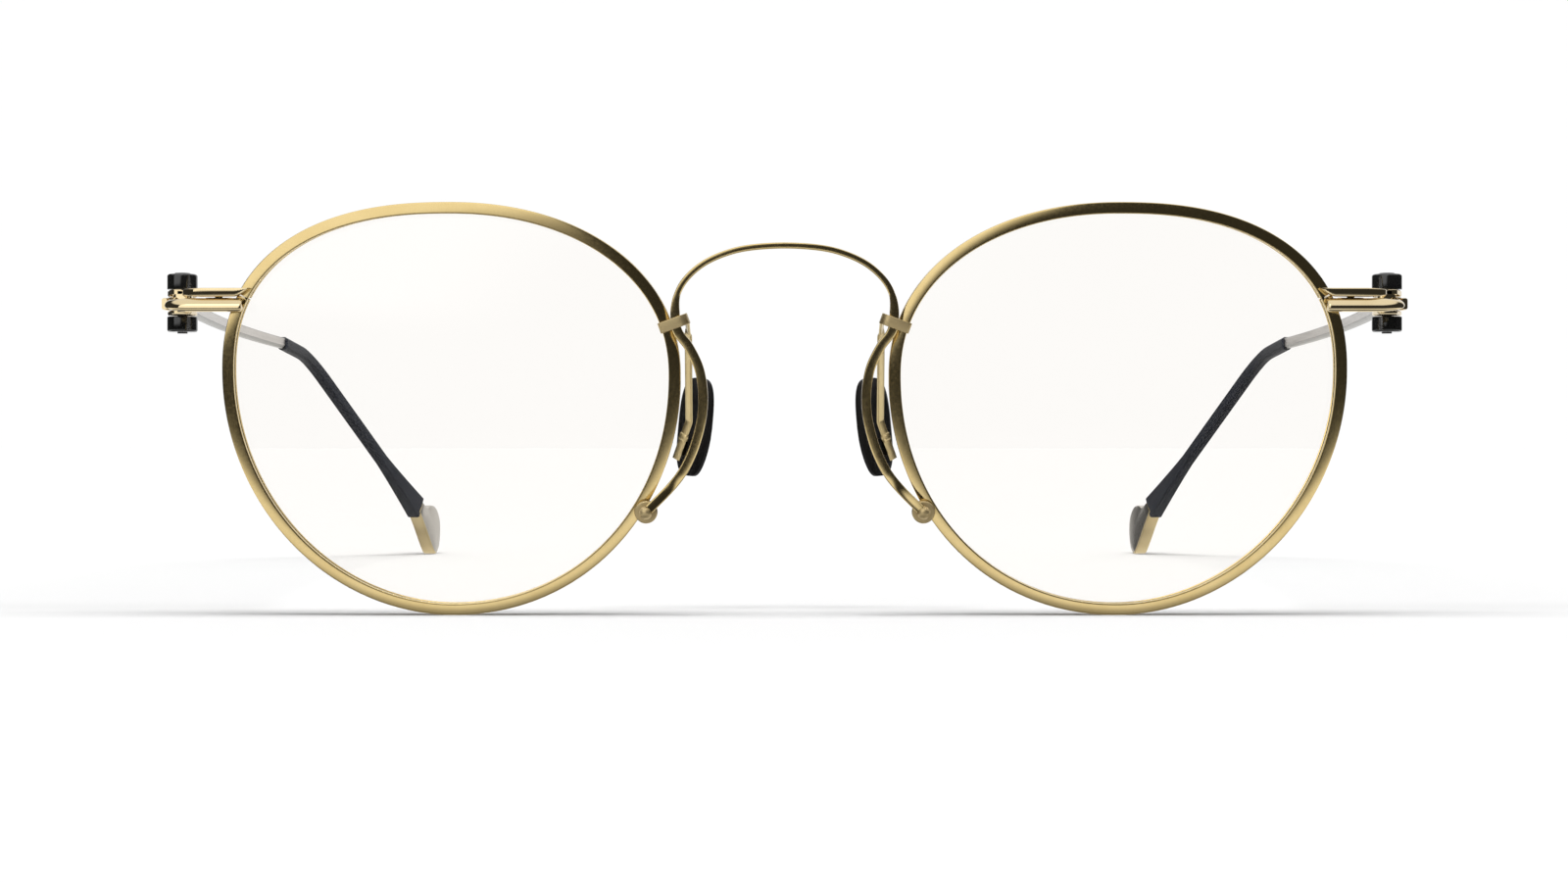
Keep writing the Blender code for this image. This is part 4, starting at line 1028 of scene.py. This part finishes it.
def tip_outline(inset, back_inset):
    """The paddle's outline in its plane, drawn in; its back edge, down to the foot, by its own inset."""
    along = (TIP_END - SLEEVE_END).normalized()
    across = along.cross(UPRIGHT).normalized()
    up = across.cross(along)
    flat = smooth_route([Vector(point) * MM for point in TIP_OUTLINE], TIP_STEPS)
    points = []
    for index, spot in enumerate(flat):
        ahead = direction(flat, index)
        own = back_inset if index <= TIP_FOOT * TIP_STEPS else inset
        spot = spot + Vector((ahead.y, -ahead.x)) * own
        points.append(HINGE + SLEEVE_END + along * spot.x + up * spot.y)
    return points, across


def make_tips(material):
    """Flat gold paddles with rounded edges."""
    quarter = [pi / 2 * i / TIP_EDGE_STEPS for i in range(TIP_EDGE_STEPS + 1)]
    rings = []
    for sign, angles in ((-1, quarter), (1, quarter[::-1])):
        for angle in angles:
            inset = TIP_EDGE * (1 - sin(angle))
            outline, across = tip_outline(inset, inset)
            lift = across * sign * (TIP_THICKNESS / 2 - TIP_EDGE * (1 - cos(angle)))
            rings.append([point + lift for point in outline])
    show_pair(skin(rings), "paddle_tip", material, "{side}_temple", ["temple_tip"])


def make_tip_faces(material):
    """Domed silver faces on both sides of the paddles, wrapped over their back edge."""
    outline, across = tip_outline(FACE_IN, -FACE_WRAP)
    middle = sum(outline, Vector()) / len(outline)
    levels = [(share, -below) for share, below in FACE_ROLL]
    levels += [(share, FACE_DOME * (1 - (1 - share) ** 2)) for share in FACE_SHARES]
    for name, sign in (("inner", -1), ("outer", 1)):
        rings = []
        for share, rise in levels:
            lift = across * sign * (TIP_THICKNESS / 2 + rise)
            rings.append([point.lerp(middle, share) + lift for point in outline])
        show_pair(skin(rings[::sign]), name + "_tip_face", material, "{side}_temple", [])


def pad_frame():
    """Place and turn of the pad's screw."""
    turn = Matrix.Rotation(-PAD_SPLAY, 4, "Z") @ Matrix.Rotation(-PAD_FRONTAL, 4, "Y")
    return Matrix.Translation(PAD_SCREW) @ Matrix.Rotation(LEAN, 4, "X") @ turn


def pad_outline():
    """A rounded oblong about the pad's middle, narrower at its lower front."""
    points = []
    for angle in circle(PAD_ROUND_STEPS):
        y = copysign(abs(cos(angle)) ** (2 / PAD_SQUARENESS), cos(angle))
        z = copysign(abs(sin(angle)) ** (2 / PAD_SQUARENESS), sin(angle))
        width = PAD_WIDTH / 2
        if y < 0 and z < 0:
            width *= 1 - PAD_NARROWING * abs(z) ** PAD_NARROWING_POWER
        points.append((y * width, z * PAD_HEIGHT / 2))
    return points


def make_pads(material):
    """Moulded pads, domed on the face that rests on the nose."""
    place = pad_frame()
    half = PAD_THICKNESS / 2
    edge = half * PAD_EDGE_SHARE
    parting = edge * PAD_PARTING_SHARE
    outline = pad_outline()
    front = []
    back = []
    for share in PAD_RINGS:
        dome = 1 - share ** PAD_DOME_POWER
        nose_side = -PAD_OUT - parting - (half - parting) * dome
        arm_side = -PAD_OUT + edge - parting + (half - edge) * min(dome * PAD_BACK_DOME, 1)
        spots = [(y * share + PAD_FORWARD, z * share + PAD_UP) for y, z in outline]
        front.append([place @ Vector((nose_side, *spot)) for spot in spots])
        back.append([place @ Vector((arm_side, *spot)) for spot in spots])
    mesh = skin(front + back[::-1])
    for piece in show_pair(mesh, "nose_pad_moulded", material, "{side}_pad", ["nose_pad"]):
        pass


def pad_arm_corners():
    """The strip's corners in the upright front, and the direction that its flat side faces."""
    reach = (STRAP_LENGTH - STRAP_THICKNESS) / 2
    leg = beside_nose(STRAP_IN, STRAP_UP, STRAP_LEG - STRAP_FRONT)
    leg += Vector((-cos(STRAP_RISE), 0.0, sin(STRAP_RISE))) * reach
    knee = leg + Vector((0.0, ARM_BOW, -ARM_DROP))
    elbow = beside_nose(ARM_ELBOW_IN, -ARM_ELBOW_DOWN, ARM_ELBOW_BACK)
    place = FRONT.inverted() @ pad_frame()
    crossing = place @ Vector((ARM_OUT, 0.0, 0.0))
    outward = place.to_3x3() @ Vector((1.0, 0.0, 0.0))
    return (leg, knee, elbow, crossing), outward


def make_pad_arms(material):
    """Flat strips from the bands, back and down across the pads' forks."""
    (leg, knee, elbow, crossing), outward = pad_arm_corners()
    end = crossing + (crossing - elbow).normalized() * ARM_TAIL
    route = rounded_route([leg, knee, elbow, end], ARM_BEND, ARM_STEPS)
    section = rounded_section(ARM_WIDTH, ARM_THICKNESS, ARM_EDGE)
    mesh = skin(on_front(sweep(route, lambda index: section, outward)))
    show_pair(mesh, "pad_arm_strip", material, "front", ["pad_arm"])


def make_pad_crimps(material):
    """A short thickening of each strip above its pad's fork."""
    (*_, elbow, crossing), outward = pad_arm_corners()
    rise = (elbow - crossing).normalized()
    route = [crossing + rise * (CRIMP_UP + CRIMP_LENGTH * share) for share in CRIMP_SHARES]

    def section_at(index):
        proud = CRIMP_PROUD if 0 < index < len(route) - 1 else 0.0
        return rounded_section(ARM_WIDTH + proud, ARM_THICKNESS + proud, ARM_EDGE)

    mesh = skin(on_front(sweep(route, section_at, outward)))
    show_pair(mesh, "pad_arm_crimp", material, "front", [])


def dress_packed_nodes(fine, polished, steel):
    """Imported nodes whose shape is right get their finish, and the gold ones softened edges."""
    finishes = {
        "upper_closing_block": fine, "lower_closing_block": fine, "temple_hinge": polished,
        "pad_box": steel, "pad_mount": steel,
        "closing_screw": steel, "hinge_screw": steel, "pad_screw": steel,
    }
    for name, material in finishes.items():
        for side in SIDES:
            node = frame["nodes"][f"{side}_{name}"]
            node.data.materials.clear()
            node.data.materials.append(material)
            if material is not steel:
                bevel = node.modifiers.new("Soft edges", "BEVEL")
                bevel.width = HINGE_BEVEL
                bevel.segments = HINGE_BEVEL_STEPS
                bevel.limit_method = "ANGLE"
                bevel.angle_limit = HINGE_BEVEL_ANGLE


def soft_edges(tree, edges):
    """A light's level between soft edges, each a value with its ends outside and inside."""
    level = 1.0
    for value, outside, inside in edges:
        edge = add_node(tree, "MapRange", {
            "Value": value, "From Min": outside, "From Max": inside,
        }, interpolation_type="SMOOTHSTEP")
        level = add_node(tree, "Math", {0: level, 1: edge}, operation="MULTIPLY")
    return level


def make_studio():
    """White behind; before the pair a dark room over a lit table, with light high overhead."""
    world = bpy.data.worlds.new("studio")
    bpy.context.scene.world = world
    tree = empty_tree(world)
    place = add_node(tree, "TexCoord").outputs["Generated"]
    axes = add_node(tree, "SeparateXYZ", {"Vector": place}).outputs
    height = add_node(tree, "MapRange", {"Value": axes["Z"], "From Min": -1.0})
    light = add_node(tree, "ValToRGB", {"Fac": height})
    bands = light.color_ramp.elements
    bands.remove(bands[1])
    for index, (degrees, level) in enumerate(TABLE_LIGHT):
        rise = (1 + sin(radians(degrees))) / 2
        band = bands.new(rise) if index else bands[0]
        band.position = rise
        band.color = (level, level, level, 1.0)
    backdrop = soft_edges(tree, [(axes["X"], *edge) for edge in BACKDROP_EDGES])
    for axis, fade, level in (("Y", BACKDROP_FADE, backdrop), ("Z", OVERHEAD_FADE, OVERHEAD_LIGHT)):
        glow = add_node(tree, "MapRange", {
            "Value": axes[axis], "From Min": fade[0], "From Max": fade[1], "To Max": level,
        }, interpolation_type="SMOOTHSTEP")
        light = add_node(tree, "Math", {0: light, 1: glow}, operation="MAXIMUM")
    path = add_node(tree, "LightPath").outputs
    for ray, level in (("Diffuse", ROOM_LIGHT), ("Transmission", WHITE), ("Camera", WHITE)):
        choice = {"Factor": path[f"Is {ray} Ray"], 2: light, 3: level}
        light = add_node(tree, "Mix", choice, data_type="FLOAT")
    ground = add_node(tree, "Background", {"Color": linear("#ffffff"), "Strength": light})
    add_node(tree, "OutputWorld", {"Surface": ground})


def hang(name, width, height, power, place, tilt):
    """A rectangular lamp in its place, out of the camera's sight."""
    lamp = bpy.data.lights.new(name, "AREA")
    lamp.shape = "RECTANGLE"
    lamp.size = width
    lamp.size_y = height
    lamp.energy = power
    thing = put(name, lamp)
    thing.location = place
    thing.rotation_euler = (tilt, 0.0, 0.0)
    thing.visible_camera = False
    return thing


def make_soft_box():
    """A panel that only the glossy pieces mirror, fading out toward its right and lower edges."""
    bottom = -PANEL_HEIGHT / 2
    middle = PANEL_RIGHT_EDGE - PANEL_WIDTH / 2
    place = (middle, FRONT.translation.y - PANEL_AHEAD, PANEL_BOTTOM - bottom)
    power = PANEL_LIGHT * PANEL_WATTS * PANEL_WIDTH * PANEL_HEIGHT
    panel = hang("soft_box", PANEL_WIDTH, PANEL_HEIGHT, power, place, pi / 2)
    panel.visible_diffuse = False
    tree = empty_tree(panel.data)
    axes = add_node(tree, "SeparateXYZ", {"Vector": add_node(tree, "TexCoord").outputs["Object"]}).outputs
    right = PANEL_WIDTH / 2 - PANEL_LEAN * (bottom + PANEL_LEAN_HEIGHT - PANEL_BOTTOM)
    lean = {0: axes["Y"], 1: -PANEL_LEAN, 2: axes["X"]}
    across = add_node(tree, "Math", lean, operation="MULTIPLY_ADD")
    glow = soft_edges(tree, (
        (across, right, right - PANEL_SIDE_FADE),
        (axes["Y"], bottom, bottom + PANEL_BOTTOM_FADE),
    ))
    add_node(tree, "OutputLight", {"Surface": add_node(tree, "Emission", {"Strength": glow})})


def lamp_row():
    """Where the lamps hang, across the pair."""
    return [(i - (LAMP_COUNT - 1) / 2) * LAMP_SPACING for i in range(LAMP_COUNT)]


def make_lamps():
    """A row of lamps above the pair casts its shade on the floor; the metal doesn't mirror them."""
    power = LAMP_LIGHT / LAMP_COUNT * (pi * LAMP_HEIGHT) ** 2
    for x in lamp_row():
        place = (x, FRONT.translation.y - LAMP_AHEAD, LAMP_HEIGHT)
        lamp = hang("row_lamp", LAMP_SPACING, LAMP_DEPTH, power, place, 0.0)
        lamp.visible_glossy = False


def make_floor(material):
    corners = [(x * FLOOR_HALF, y * FLOOR_HALF, 0.0) for x, y in ((-1, -1), (1, -1), (1, 1), (-1, 1))]
    mesh = bpy.data.meshes.new("floor")
    mesh.from_pydata(corners, [], [(0, 1, 2, 3)])
    mesh.materials.append(material)
    floor = put("floor", mesh)
    floor.visible_glossy = False


def make_camera():
    camera = bpy.data.cameras.new("camera")
    camera.sensor_width = SENSOR_WIDTH
    camera.sensor_fit = "HORIZONTAL"
    camera.lens = CAMERA_FOCUS_PIXELS / PICTURE_WIDTH * SENSOR_WIDTH
    camera.shift_x = -CAMERA_SIDE_PIXELS / PICTURE_WIDTH
    camera.clip_start = 1.0 * MM
    thing = put("camera", camera)
    thing.location = (0.0, FRONT.translation.y - CAMERA_AHEAD, CAMERA_HEIGHT)
    thing.rotation_euler = (pi / 2, 0.0, 0.0)
    bpy.context.scene.camera = thing


def build():
    satin = satin_gold_plate()
    fine = fine_gold_plate()
    polished = polished_gold_plate()
    silver = brushed_silver()
    make_rims(satin)
    make_lenses(lens_resin())
    make_bridge_wire(satin)
    blasted = blasted_gold_plate()
    make_straps(blasted)
    make_rivets(blasted)
    make_upper_bars(polished)
    make_lower_tubes(polished)
    make_hinge_forks(polished)
    make_hinge_stops(polished)
    make_knobs(black_lacquer())
    make_temple_bars(silver)
    make_sleeves(navy_acetate())
    make_tips(fine)
    make_tip_faces(brushed_tip_face())
    make_pads(black_silicone())
    make_pad_arms(fine)
    make_pad_crimps(fine)
    dress_packed_nodes(fine, polished, blackened_steel())
    make_studio()
    make_soft_box()
    make_lamps()
    make_floor(pale_floor())
    make_camera()
    bpy.context.scene.view_settings.view_transform = "Standard"


build()
